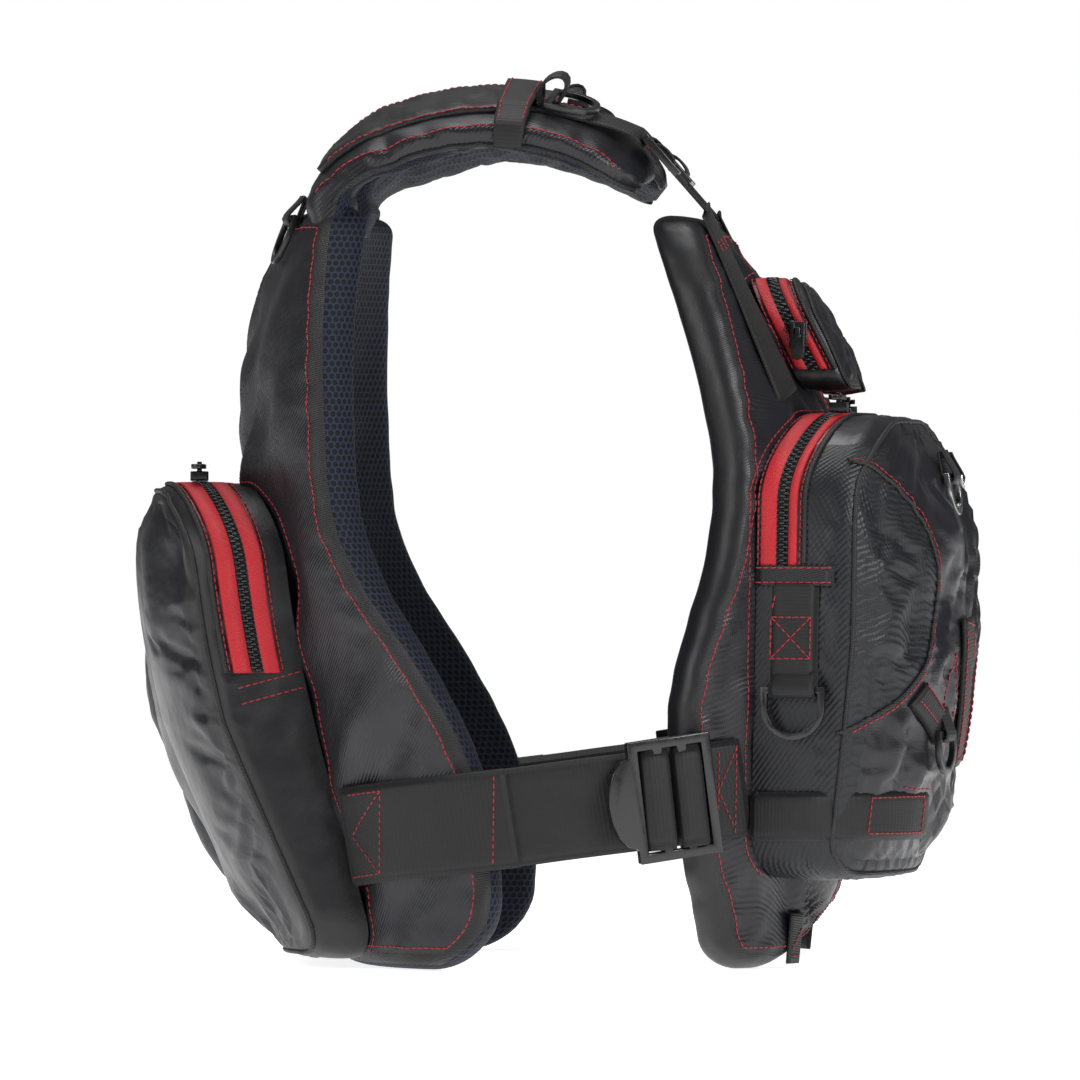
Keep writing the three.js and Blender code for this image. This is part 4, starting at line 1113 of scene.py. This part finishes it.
def belt_stitch(points, out, group):
    """Stitches on the belt, from (around, share of the width up from its middle)."""
    p = np.array([[a, belt_line(a) + share * BELT_WIDTH] for a, share in points])
    flat_stitch(group, p, out, length=2.6, gap=1.2)


for line in ([(152, -0.45), (152, 0.45)], [(160, -0.42), (160, 0.42)],
             [(152, 0.42), (160, 0.0), (152, -0.42)]):
    belt_stitch(line, BELT_TOP, "front")
for line in ([(BELT_SPLIT + 24, -0.44), (BELT_SPLIT + 24, 0.44)],
             [(BOX_END, 0.42), (BOX_END - 18, 0.42), (BOX_END - 18, -0.42), (BOX_END, -0.42)],
             [(BOX_END - 18, 0.42), (BOX_END - 2, 0.0), (BOX_END - 18, -0.42)]):
    belt_stitch(line, FOLD_TOP, "back")

CHEST_LINE = [[147, 387], [141, 372], [136, 354], [130, 334], [123, 312], [116, 292]]
chest_strap = strap_mesh("chest_strap", CHEST_LINE, STRAP_WIDTH, FACE)
for shift in (-0.32, 0.0, 0.32):
    flat_stitch("front", [[143 + shift * 22, 372 - shift * 4], [139 + shift * 22, 366 - shift * 4]],
                FACE + WEBBING + 0.2, length=1.6, gap=0.5, radius=0.5)

# ------------------------------------------------------------------ straps on the front pouch

SIDE_OUT = FACE + 22
SIDE_FACE = LOWER_STOP + GUSSET_BULGE  # where the swollen gusset's side lies


def gusset_strap(name, foot, head, out, width, thickness, lift, material="webbing"):
    """A strap that runs up the front pouch's side, at a middle distance out."""
    z = np.linspace(foot, head, 30)[:, None]
    share = np.linspace(-0.5, 0.5, 9)
    edge = soft_edge((0.5 - np.abs(share)) * width)
    out = (out + share * width)[None]
    around = SIDE_FACE + lift
    return sheet(name, on_torso(around + thickness * edge[None], z, out, True),
                 on_torso(around, z, out, True), z, out, material)


def gusset_stitch(points, lift):
    """Stitches on the front pouch's side, from (height, distance out)."""
    z, out = resample(points, STITCH_STEP).T
    path = on_torso(SIDE_FACE + lift, z, out, True)
    stitch(THREAD["front"], path, on_torso(SIDE_FACE + lift + 1, z, out, True) - path)


side_strap = gusset_strap("side_strap_cloth", 141, 196, SIDE_OUT, STRAP_WIDTH, WEBBING, 0.5)
side_band = gusset_strap("front_pouch_band", 195, 205, FACE + 21.5, 42, 1.2, 0.6, "binding")
x0, x1 = SIDE_OUT - 10.5, SIDE_OUT + 10.5
for line in ([(179, x0), (179, x1), (158, x1), (158, x0), (179, x0)], [(179, x0), (158, x1)],
             [(179, x1), (158, x0)], [(190, x0 + 2), (181, x0)]):
    gusset_stitch(line, 0.5 + WEBBING + 0.15)
for height in (204, 196.6):
    gusset_stitch([(height, FACE + 2), (height, FACE + 42)], 0.6 + 1.2 + 0.15)
for line in ([(151, FACE + 1), (142, FACE + 36)], [(143, FACE + 1), (134, FACE + 36)]):
    height, out = resample(line, 2).T
    near_side = back_pouch_shape.edges(height)[0]
    stitch_on("back", on_torso(near_side, height, out, True), back_pouch_tree)


def pocket_strap():
    """The pocket strap, round the front pouch's side onto its face."""
    height, half = POCKET_HEIGHT, STRAP_WIDTH / 2
    z = np.linspace(height - half, height + half, 9)
    low = FACE + 4
    bend = lower_shape.face(LOWER_STOP, height) + 1.2
    around = LOWER_STOP + 2.6
    runs = [(around, o) for o in np.linspace(low, bend - 9, 10)]
    runs += [(around - 9 + 9 * math.cos(t), bend - 9 + 9 * math.sin(t))
             for t in np.radians([15, 30, 45, 60, 75])]
    face_at = np.linspace(134, 89, 16)
    rows = np.broadcast_to(face_at[:, None], (16, len(z)))
    above = draped(rows, np.broadcast_to(z[None], rows.shape))
    runs += [(a, float(lower_shape.face(a, height)) + 0.6 + up) for a, up in zip(face_at, above)]
    runs = np.array(runs)
    away = turned(unit(np.gradient(runs, axis=0)))
    inner = on_torso(runs[:, None, 0], z[None], runs[:, None, 1], True)
    edge = soft_edge(half - np.abs(z - height))
    lifted = runs[:, None] + away[:, None] * (WEBBING * edge)[None, :, None]
    outer = on_torso(lifted[..., 0], z[None], lifted[..., 1], True)
    return sheet("pocket_strap", outer, inner, run_along(runs)[:, None], z[None])


def face_strap(name, path, width, lift):
    """A strap on the front pouch's face, laid on its cloth."""
    a, z, run, across, edge = strap_grid(path, width, 8)
    base = lower_shape.face(a, z) + lift + draped(a, z)[:, None]
    return sheet(name, on_torso(a, z, base + WEBBING * edge, True), on_torso(a, z, base, True),
                 run, across)


def face_stitch(lines, tree, lift, **sizes):
    """Stitches on the front pouch's face, from lines of (around, z)."""
    for line in lines:
        a, z = resample(line, STITCH_STEP).T
        stitch_on("front", lower_shape.on_face(a, z, lift), tree, **sizes)


pocket = pocket_strap()
face_stitch([[(131, 87), (96, 87), (96, 69), (131, 69), (131, 87)]], surface_of(pocket), 8)
tool_strap = face_strap("tool_strap_cloth", TOOL_STRAP, 18, lift=1.0)
ring_strap = face_strap("ring_strap", RING_STRAP, 16, lift=0.4)
face_stitch([[(113, 136), (97, 124)], [(109, 144), (93, 131)]], surface_of(ring_strap), 5,
            length=2.2)
face_stitch([[(65, 105), (72, 150), (75, 174)], [(50, 105), (53, 140), (59, 174)],
             [(50, 106), (65, 104)], [(58, 174), (75, 176)]], surface_of(tool_strap), 6)
face_stitch([[(80, 160), (88, 150), (88, 128), (80, 118)], [(80, 160), (78, 118)],
             [(112, 92), (84, 90)]], lower_tree, 2)

inlay = rounded(INLAY, 1.5, 3)
inlay_path, inlay_up = laid_on(lower_shape.on_face(inlay[:, 0], inlay[:, 1], 1), lower_tree, 0.5)
inlay_piping = piping("front_pouch_inlay_piping", inlay_path, inlay_up, 1.2)
stitch_on("front", lower_shape.on_face(inlay[:, 0] - 3.2, inlay[:, 1], 1), lower_tree)


def face_seam(name, pouch, tree, inset, radius):
    """The piped seam between a pouch's face and its side."""
    up = spaced(0, 1, 0.18, 0.22, 1 / 40)
    a, z = pouch.lattice(inset, up, np.linspace(0, 1, 40))
    rim = rim_of(*a.shape)
    a, z = a.ravel()[rim], z.ravel()[rim]
    loop = resample(np.concatenate([pouch.on_face(a, z), pouch.on_face(a[:1], z[:1])]), 2.0)[:-1]
    path, up_there = laid_on(loop, tree, 0.3)
    return piping(name, path, up_there, radius, closed=True)


back_seam = face_seam("back_pouch_piping", back_pouch_shape, back_pouch_tree, 2.6, 1.3)
lower_seam = face_seam("front_pouch_piping", lower_shape, lower_tree, 2.6, 1.3)
chest_seam = face_seam("chest_pouch_piping", chest_shape, chest_tree, 1.6, 1.0)

# Stitches round the foot of each pouch, on the panel under it.
for pouch, tree, group in ((back_pouch_shape, back_tree, "back_middle"),
                           (lower_shape, front_tree, "front"), (chest_shape, front_tree, "front")):
    around, height = pouch.edge_path(3.0, pouch.low + 4).T
    stitch_on(group, on_torso(around, height, SHELL + 0.5), tree)

# ------------------------------------------------------------------ shoulders

PAD_WIDTH = 66
PAD_THICKNESS = 17
PAD_RISE = 36
PAD_ROLL = 0.3
PAD_ROOT_SWELL = 4.4  # a pad widens to the panel's thickness where it is sewn on
PAD_RUN = 240  # a shoulder's length for its cloth's pattern
# The arch of a pad: share of the way forward, share of the rise.
PAD_ARCH = [[0.0, 0.0], [0.02, 0.3], [0.14, 0.74], [0.38, 1.0], [0.62, 0.94], [0.85, 0.55],
            [1.0, 0.0]]
COVER_IN = PAD_THICKNESS / 2 + 0.6
RING_ACROSS = 6
pad_root = on_torso(SPINE - 92, PANEL_HEIGHT + 0.6, SHELL / 2)
pad_tip = on_torso(150, PANEL_HEIGHT, SHELL) + np.array([-2, 27, 13])


def pad_curve(count=3001):
    """Points evenly spaced along a centripetal spline through the shoulder's arch."""
    knots = np.array([pad_root + (pad_tip - pad_root) * s + [0, 0, r * PAD_RISE]
                      for s, r in PAD_ARCH])
    ends = np.concatenate([[2 * knots[0] - knots[1]], knots, [2 * knots[-1] - knots[-2]]])
    runs = []
    for i in range(len(knots) - 1):
        a, b, c, d = ends[i:i + 4]
        g, h, k = (max(np.linalg.norm(v) ** 0.5, 1e-4) for v in (b - a, c - b, d - c))
        m = ((b - a) / g - (c - a) / (g + h) + (c - b) / h) * h
        n = ((c - b) / h - (d - b) / (h + k) + (d - c) / k) * h
        t = np.linspace(0, 1, 200, endpoint=i == len(knots) - 2)[:, None]
        square, cube = -3 * b + 3 * c - 2 * m - n, 2 * b - 2 * c + m + n
        runs.append(b + m * t + square * t**2 + cube * t**3)
    curve = np.concatenate(runs)
    return resample(curve, run_along(curve)[-1] / count)


_curve = pad_curve()
_tangent = unit(np.gradient(_curve, axis=0))
_share = np.linspace(0, 1, len(_curve))
PAD_LENGTH = run_along(_curve)[-1]


def on_shoulder(share, across, above):
    """Shoulder points (share of the way forward, inward, above the middle) in space."""
    share, across, above = np.broadcast_arrays(
        *(np.asarray(v, float) for v in (share, across, above)))
    point = np.stack([np.interp(share, _share, _curve[:, i]) for i in range(3)], -1)
    tangent = np.stack([np.interp(share, _share, _tangent[:, i]) for i in range(3)], -1)
    tangent = np.where(share[..., None] > 0, unit(tangent), [0.0, 0, 1])
    point = point + np.minimum(share, 0)[..., None] * PAD_LENGTH * tangent
    flat = unit(np.array([1.0, 0, 0]) - tangent * tangent[..., :1])
    up = np.cross(tangent, flat)
    roll = (PAD_ROLL * np.clip(4 * share, 0, 1))[..., None]
    inward = flat * np.cos(roll) + up * np.sin(roll)
    up = up * np.cos(roll) - flat * np.sin(roll)
    return point + inward * across[..., None] + up * above[..., None]


def shoulder_solid(name, begin, end, steps, half_of, thick_of, power, materials, slot_of,
                   lump, across_at=0.0, middle=0.0, count=40):
    """A padded strip on the shoulder with a rounded, squarish section."""
    share = np.linspace(begin, end, steps)
    t = np.linspace(0, 2 * np.pi, count, endpoint=False)
    c, s = np.cos(t), np.sin(t)
    x = np.sign(c) * np.abs(c) ** (2 / power)
    y = np.sign(s) * np.abs(s) ** (2 / power)
    across = across_at + half_of(share)[:, None] * x[None]
    above = middle + thick_of(share)[:, None] * y[None]
    length = share[:, None] * PAD_RUN
    ripple = waves(np.stack(np.broadcast_arrays(length, across), -1), 30, 91)
    above = above + lump * np.abs(y)[None] * ripple
    points = on_shoulder(share[:, None], across, above)
    n = len(points)
    faces, slots = [], []
    for i in range(n - 1):
        ring = i * count + np.arange(count)
        faces += band(ring, ring + count).tolist()
        slots += [slot_of(yy) for yy in (y + np.roll(y, -1)) / 2]
    faces += [list(range(count)), list(range((n - 1) * count, n * count))]
    slots += [0, 0]
    uv = np.stack(np.broadcast_arrays(length, (t * 25)[None]), -1).reshape(-1, 2)
    return mesh_object(name, points.reshape(-1, 3), faces, materials, slots, uv * MM)


def near_tip(share):
    """0 along a pad, rising to 1 over its rounded tip."""
    return np.clip(share - 0.84, 0, None) / 0.16


def pad_half(share):
    return PAD_WIDTH / 2 * np.sqrt(1 - 0.85 * near_tip(share) ** 2)


def pad_thick(share):
    pinch = np.clip((1 - share) / 0.03, 0.15, 1) ** 0.5
    root = np.exp(-((share - 0.01) / 0.05) ** 2)
    return PAD_THICKNESS / 2 * (1 - 0.35 * near_tip(share) ** 2) * pinch + PAD_ROOT_SWELL * root


def cover_half(share):
    return 22 * np.clip((share - 0.05) / 0.03, 0, 1) ** 0.3


def cover_thick(share):
    return 2.6 + 0 * share


shoulder_pad = shoulder_solid(
    "shoulder_pad_cloth", -0.06, 1.0, 96, pad_half, pad_thick, 3.4, ["shell", "mesh"],
    lambda y: 1 if y < -0.35 else 0, lump=0.3)
cover = shoulder_solid(
    "shoulder_cover_cloth", 0.07, 0.62, 60, cover_half, cover_thick, 4.5, ["wall"],
    lambda y: 0, lump=0.35, across_at=RING_ACROSS, middle=COVER_IN + 2.5, count=32)
# A pad is held where it is sewn in, and comes free over the last 10 mm of height.
pad_held = np.clip(1 - points_of(shoulder_pad)[:, 2] * 100 + 39.6, 0, 1)
simulate(shoulder_pad, pad_held, pressure=2.5, shrink=-0.015, cap=2.5)
simulate(cover, np.full(len(cover.data.vertices), 0.5), pressure=3, shrink=-0.02, cap=1.5)
pad_tree = surface_of(shoulder_pad)
cover_tree = surface_of(cover)


for across in (-PAD_WIDTH / 2 + 3.5, PAD_WIDTH / 2 - 3.5):
    stitch_on("back", on_shoulder(np.linspace(0.03, 0.93, 160), across, 7.5), pad_tree)
for across in (-16, 28):
    stitch_on("back", on_shoulder(np.linspace(0.1, 0.6, 160), across, COVER_IN + 5), cover_tree)
pad_trims = []
for name, side in (("outer", -1), ("inner", 1)):
    share = np.linspace(0.01, 0.99, 140)
    line = on_shoulder(share, side * (pad_half(share) - 0.6), -2.6)
    pad_trims.append(piping(f"shoulder_piping_{name}", *laid_on(line, pad_tree, 0.4), 1.5))


# A wrap over the pad and its cover: (inward, above).
KEEPER_LINE = [(-34.6, -3), (-34.4, 3), (-33, 8), (-29, 10.5), (-23, 12.5), (-18, 15),
               (-16.6, 15.9), (-12, 16.2), (0, 16.3), (6, 16.3), (12, 16.3), (24, 16.2),
               (28.6, 15.9), (30, 13.5), (33, 10), (34.4, 4), (34.6, -3)]


def keeper(name, begin, end, thickness=1.3):
    """A webbing wrap over the cover, down to both edges of the pad."""
    share = np.linspace(begin, end, 10)[:, None]
    line = rounded(KEEPER_LINE, 1.5, 2)
    off = -turned(unit(np.gradient(line, axis=0)))
    top, under = (on_shoulder(share, *(line + off * lift).T) for lift in (thickness, 0.0))
    return sheet(name, top, under, np.arange(len(line))[None] * 1.5, share * PAD_RUN, weld=0)


wrap = keeper("shoulder_keeper", 0.56, 0.645)
wrap_tree = surface_of(wrap)
for share in (0.57, 0.635):
    stitch_on("back", on_shoulder(share, np.linspace(-34, 34, 40), 22), wrap_tree)

# Webbing from the pad to the adjuster, and from the adjuster to the front panel.
WEBBING_FREE, WEBBING_END = 0.68, 0.9  # where the webbing leaves the pad and where it ends
RIBBON_STEP = 2.5


def lift_at(share):
    """The webbing's height over a pad's middle."""
    free = np.clip(share - WEBBING_FREE, 0, None) / (WEBBING_END - WEBBING_FREE)
    return COVER_IN + 6 * free**2


def ribbon(name, path, across, width, thickness=WEBBING):
    """A flat band through space: its middle points and the direction across it."""
    path = resample(path, RIBBON_STEP)
    tangent = unit(np.gradient(path, axis=0))
    across = np.atleast_2d(across)
    ends, at = np.linspace(0, 1, len(across)), np.linspace(0, 1, len(path))
    across = np.stack([np.interp(at, ends, across[:, i]) for i in range(3)], -1)
    across = unit(across - tangent * (tangent * across).sum(-1, keepdims=True))
    up = np.cross(across, tangent)
    share = np.linspace(-0.5, 0.5, 9)
    edge = soft_edge((0.5 - np.abs(share)) * width)
    flat = path[:, None] + across[:, None] * (share * width)[None, :, None]
    half = up[:, None] * (thickness / 2 * edge)[None, :, None]
    run = np.arange(len(path))[:, None] * RIBBON_STEP
    return sheet(name, flat + half, flat - half, run, (share * width)[None])


share = np.linspace(0.62, WEBBING_END, 50)
run = on_shoulder(share, RING_ACROSS, lift_at(share) + 1.0)
sideways = on_shoulder(share, RING_ACROSS + 1, lift_at(share) + 1.0) - run
run_end = on_shoulder(WEBBING_END, RING_ACROSS, lift_at(WEBBING_END))
run_start = on_torso(147, FRONT_TOP + 3, FACE)
along = unit(run_end - run_start)
into_adjuster = run[-1] - along * 7.0 * np.linspace(0, 1, 12)[1:, None]
shoulder_strap = ribbon("shoulder_strap", np.concatenate([run, into_adjuster]),
                        np.concatenate([sideways, np.repeat(sideways[-1:], 11, 0)]), STRAP_WIDTH)
across_run = unit(np.array([1.0, 0, 0]) - along * along[0])
up_run = np.cross(across_run, along)
adjuster_foot = run_end - along * 29.0
lower_run = np.linspace(run_start - along * 2, adjuster_foot + along * 5, 20) + up_run * 1.0
lower_strap = ribbon("shoulder_strap_lower", lower_run, across_run, STRAP_WIDTH)

# Webbing over the middle bar of the shoulder adjuster.
arch = [(4.7, -0.2), (4.7, 3.4), (6.6, 5.4), (12, 6.2), (17.4, 5.4), (19.3, 3.4), (19.3, -0.2)]
line = rounded([adjuster_foot + along * x + up_run * out for x, out in arch], 0.8, 2)
shoulder_wrap = ribbon("shoulder_wrap", line, across_run, STRAP_WIDTH, 1.5)

# The belt's webbing over the two middle bars of the waist adjuster.
ADJUSTER_AT = 180


def on_belt(step, above):
    """A point near the waist adjuster, along the belt and above its foot."""
    around = ADJUSTER_AT + step
    return on_torso(around, belt_line(around), FACE + WEBBING + 0.8 + above)


adjuster_origin = on_belt(0, 0)
belt_x = unit(on_belt(1, 0) - on_belt(-1, 0))
belt_out = unit(on_belt(0, 1) - adjuster_origin)
arch = [(1.6, -0.2), (1.6, 4.5), (2.2, 6.9), (5, 7.0), (9, 7.0), (14.4, 6.6), (15.8, 4.5),
        (15.8, -0.2)]
belt_wraps = []
for name, sign in (("waist_wrap_near", -1), ("waist_wrap_far", 1)):
    line = [adjuster_origin + belt_x * sign * x + belt_out * out for x, out in arch]
    line = rounded(line, 0.8, 2)
    belt_wraps.append(ribbon(name, line, np.cross(belt_x, belt_out), BELT_WIDTH + 1.4, 1.5))

# The loop of webbing that stands up behind the shoulder ring.
LOOP_LINE = [(0.655, 11), (0.645, 14), (0.65, 22), (0.675, 28), (0.7, 29), (0.712, 25),
             (0.705, 18), (0.695, 12)]
loop_path = rounded([on_shoulder(s, RING_ACROSS, h) for s, h in LOOP_LINE], 1.5, 3)
loop_side = on_shoulder(0.68, RING_ACROSS + 1, 20) - on_shoulder(0.68, RING_ACROSS, 20)
ring_loop = ribbon("shoulder_ring_loop", loop_path, loop_side, 14, 1.6)

# ------------------------------------------------------------------ hardware


def from_cad(node, name, width, material="plastic"):
    """A CAD piece with its hard edges rounded over."""
    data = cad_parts[node].data.copy()
    data.materials.clear()
    data.materials.append(M[material])
    obj = add_object(name, data)
    bm = bmesh.new()
    bm.from_mesh(data)
    bmesh.ops.remove_doubles(bm, verts=bm.verts, dist=1e-5)
    bmesh.ops.dissolve_limit(bm, angle_limit=math.radians(1), verts=bm.verts, edges=bm.edges)
    sharp = [e for e in bm.edges if len(e.link_faces) == 2
             and e.calc_face_angle(0) > math.radians(25)]
    bmesh.ops.bevel(bm, geom=sharp, offset=width * MM, segments=3, profile=0.5,
                    affect="EDGES", clamp_overlap=True)
    bmesh.ops.recalc_face_normals(bm, faces=bm.faces)
    bm.to_mesh(data)
    bm.free()
    data.polygons.foreach_set("use_smooth", [True] * len(data.polygons))
    data.set_sharp_from_angle(angle=math.radians(50))
    return obj


# Each piece in two copies, with the width of its rounded edges.
EDGE_WIDTHS = {"waist_adjuster": 0.9, "shoulder_adjuster": 0.6, "lower_zip_slider": 0.5,
               "chest_zip_slider": 0.5, "shoulder_ring": 0.9, "rear_ring": 0.9, "side_ring": 0.9,
               "upper_ring": 0.9, "lower_ring": 0.9}
for node, width in EDGE_WIDTHS.items():
    metal = node == "upper_ring"
    piece = from_cad(f"{node}_right", f"{node}_shape", width, "metal" if metal else "plastic")
    settle(piece, node, [node])
for node in ("back_zip_slider", "back_zip_pull", "front_zip_slider"):
    settle(from_cad(node, f"{node}_shape", 0.5), node, [node], both=False)

# Webbing loops that hold the rings. Each follows its ring's bar, in the ring's own directions.


def place_on(around, z, out, pouch=False, hang=False):
    """Origin and directions on the pattern: round the torso, out of it and up along it."""
    origin = on_torso(around, z, out, pouch)
    x = unit(on_torso(around + 1, z, out, pouch) - on_torso(around - 1, z, out, pouch))
    up = on_torso(around, z + 1, out, pouch) - on_torso(around, z - 1, out, pouch)
    if hang:
        x, up = unit(x * [1, 1, 0]), np.array([0.0, 0, 1])
    y = unit(np.cross(up, x))
    return origin, x, y, np.cross(x, y)


BAR_WRAP = 3.5  # from the middle of a ring's bar to the middle of its webbing
LOOP_RADIUS = 4.367
LOOP_OUT = LOOP_RADIUS - 0.6


def bar_loop(name, place, width, tail, front_leg=0.0):
    """Webbing that comes down from the cloth, round a ring's bar and back up."""
    origin, x, y, z = place
    turn = np.radians(np.linspace(180, 350, 12))
    line = [(-BAR_WRAP, tail), (-BAR_WRAP, tail * 0.4)]
    line += [(BAR_WRAP * math.cos(t), BAR_WRAP * math.sin(t)) for t in turn]
    line += [(BAR_WRAP * 0.7, 3), (-0.6 + front_leg, tail * 0.75), (-1.4 + front_leg, tail)]
    path = rounded([origin + y * out + z * up for out, up in line], 1.2, 2)
    return ribbon(name, path, x, width, 1.6)


def face_place(around, z, hang):
    return place_on(around, z, float(lower_shape.face(around, z)) + LOOP_OUT, True, hang)


rear_place = place_on(SPINE - 84, PANEL_HEIGHT - 5, SHELL + LOOP_OUT)
rear_loop = bar_loop("rear_ring_loop", rear_place, 14, 13)
upper_loop = bar_loop("upper_ring_loop", face_place(*UPPER_RING_AT, False), 14, 14)
lower_loop = bar_loop("lower_ring_loop", face_place(*LOWER_RING_AT, True), 14, 14)
side_origin = on_torso(LOWER_STOP, 142, SIDE_OUT, True)
side_in = unit(on_torso(LOWER_STOP, 142, SIDE_OUT - 1, True) - side_origin)
side_off = unit(np.cross([0.0, 0, 1], side_in))
side_place = (side_origin + side_off * (1 + LOOP_RADIUS), side_in, side_off, np.array([0.0, 0, 1]))
side_loop = bar_loop("side_ring_loop", side_place, 24.5, 9, -1.0)
hem_tab = strap_mesh("hem_tab", [[108, 28], [108, 16], [108, 2]], 12, SHELL - 0.4, 2.4,
                     material="binding")
for line in ([[104, 6], [112, 6]], [[104, 20], [112, 8]]):
    flat_stitch("front", line, SHELL + 2.2, length=2)

# ------------------------------------------------------------------ everything on its body

settle(back_panel, "back", ["back_shell", "back_foam", "back_lining"], both=False)
settle(front_panel, "front", ["front_shell", "front_foam", "front_lining"])
settle(back_pouch, "back", ["back_pouch"], both=False)
settle(lower_pouch, "front", ["lower_pouch"])
settle(chest_pouch, "front", ["chest_pouch"])
# A zip's tape stands for its CAD node; its teeth and piping replace nothing.
for piece in back_zip:
    settle(piece, "back", ["back_zip_tape"] if piece is back_zip[0] else [],
           both=False)
for pieces, node in ((lower_zip, "lower_zip_tape"), (chest_zip, "chest_zip_tape")):
    for piece in pieces:
        settle(piece, "front", [node] if piece is pieces[0] else [])
settle(front_zip_cloth, "front", ["front_zip_tape"])
settle(front_zip_teeth, "front")
belt_bend = (on_torso(BELT_SPLIT + 14, 80, FACE), on_torso(BELT_SPLIT - 14, 80, FACE))
settle(belt, "front", ["back_belt", "front_belt"],
       blend=("back", "front", *belt_bend))
for piece, body, nodes in (
        (belt_fold, "back", []), (shoulder_wrap, "shoulder_adjuster", []),
        (belt_wraps[0], "waist_adjuster", []), (belt_wraps[1], "waist_adjuster", []),
        (chest_strap, "front", ["chest_webbing"]), (lower_strap, "front", []),
        (side_strap, "front", ["side_strap"]), (side_band, "front", []),
        (pocket, "front", ["pouch_strap"]), (tool_strap, "front", ["tool_strap"]),
        (ring_strap, "front", []), (wrap, "back", []),
        (shoulder_strap, "back", ["shoulder_webbing"]), (ring_loop, "back", []),
        (rear_loop, "back", []), (upper_loop, "front", []), (lower_loop, "front", []),
        (side_loop, "front", []), (hem_tab, "front", [])):
    settle(piece, body, nodes)
settle(shoulder_pad, "back", ["shoulder_pad"])
settle(cover, "back", ["shoulder_cover"])
settle(back_seam, "back", both=False)
for piece, body in ((inlay_piping, "front"), (lower_seam, "front"), (chest_seam, "front"),
                    (pad_trims[0], "back"), (pad_trims[1], "back")):
    settle(piece, body)
settle(THREAD["back_middle"].make("stitches_back", "thread"), "back", both=False)
settle(THREAD["back"].make("stitches_side", "thread"), "back")
settle(THREAD["front"].make("stitches_front", "thread"), "front")

# ------------------------------------------------------------------ camera, floor and light

scene = bpy.context.scene
AIM = np.array([0, 10 + MIDDLE_Y, 218]) * MM
AZIMUTH = math.radians(-87)
DISTANCE = 6.0
FIELD = 0.5616  # metres across the picture at the aim point
camera_data = bpy.data.cameras.new("camera")
camera_data.sensor_width = 36
camera_data.lens = 36 * DISTANCE / FIELD
camera_data.clip_end = 30
camera = add_object("camera", camera_data)
camera.location = AIM + DISTANCE * np.array([math.sin(AZIMUTH), -math.cos(AZIMUTH), 0])
camera.rotation_euler = (math.pi / 2, 0, AZIMUTH)
scene.camera = camera


def glowing(name, color, roughness, specular, strength):
    """A white glow over a plain surface."""
    s = Shader(name, color, roughness, specular=specular)
    s.set("Emission Color", (1, 1, 1, 1))
    s.set("Emission Strength", strength)
    return s.material


floor_data = bpy.data.meshes.new("studio_floor")
floor_data.from_pydata([(-6, -6, -0.0005), (6, -6, -0.0005), (6, 6, -0.0005), (-6, 6, -0.0005)], [],
                       [(0, 1, 2, 3)])
floor_data.materials.append(glowing("studio_floor", (0.9, 0.9, 0.9), 0.6, 0.1, 0.85))
floor = add_object("studio_floor", floor_data)

# A white backdrop all round, which only the camera sees, so that the cloth stays dark.
backdrop_data = bpy.data.meshes.new("studio_backdrop")
bm = bmesh.new()
bmesh.ops.create_uvsphere(bm, u_segments=32, v_segments=16, radius=11)
bm.to_mesh(backdrop_data)
bm.free()
backdrop_data.materials.append(glowing("studio_backdrop", (0, 0, 0), 1.0, 0.0, 1.0))
backdrop = add_object("studio_backdrop", backdrop_data)
for flag in ("diffuse", "glossy", "transmission", "volume_scatter", "shadow"):
    setattr(backdrop, f"visible_{flag}", False)

world = bpy.data.worlds.new("studio")
world.use_nodes = True
background = world.node_tree.nodes["Background"]
background.inputs["Color"].default_value = (1, 1, 1, 1)
background.inputs["Strength"].default_value = 0.15
scene.world = world
scene.view_settings.view_transform = "Standard"


def softbox(name, place, size, power):
    """A square light that faces the jacket."""
    light = bpy.data.lights.new(name, "AREA")
    light.shape = "RECTANGLE"
    light.size = light.size_y = size
    light.energy = power
    obj = add_object(name, light)
    obj.location = place
    obj.rotation_euler = (Vector(AIM) - Vector(place)).to_track_quat("-Z", "Y").to_euler()


softbox("key", (-1.5, -1.5, 1.3), 0.9, 38)
softbox("fill", (-1.3, 1.7, 0.9), 0.9, 15)
softbox("top", (0.2, 0.2, 2.2), 1.2, 26)
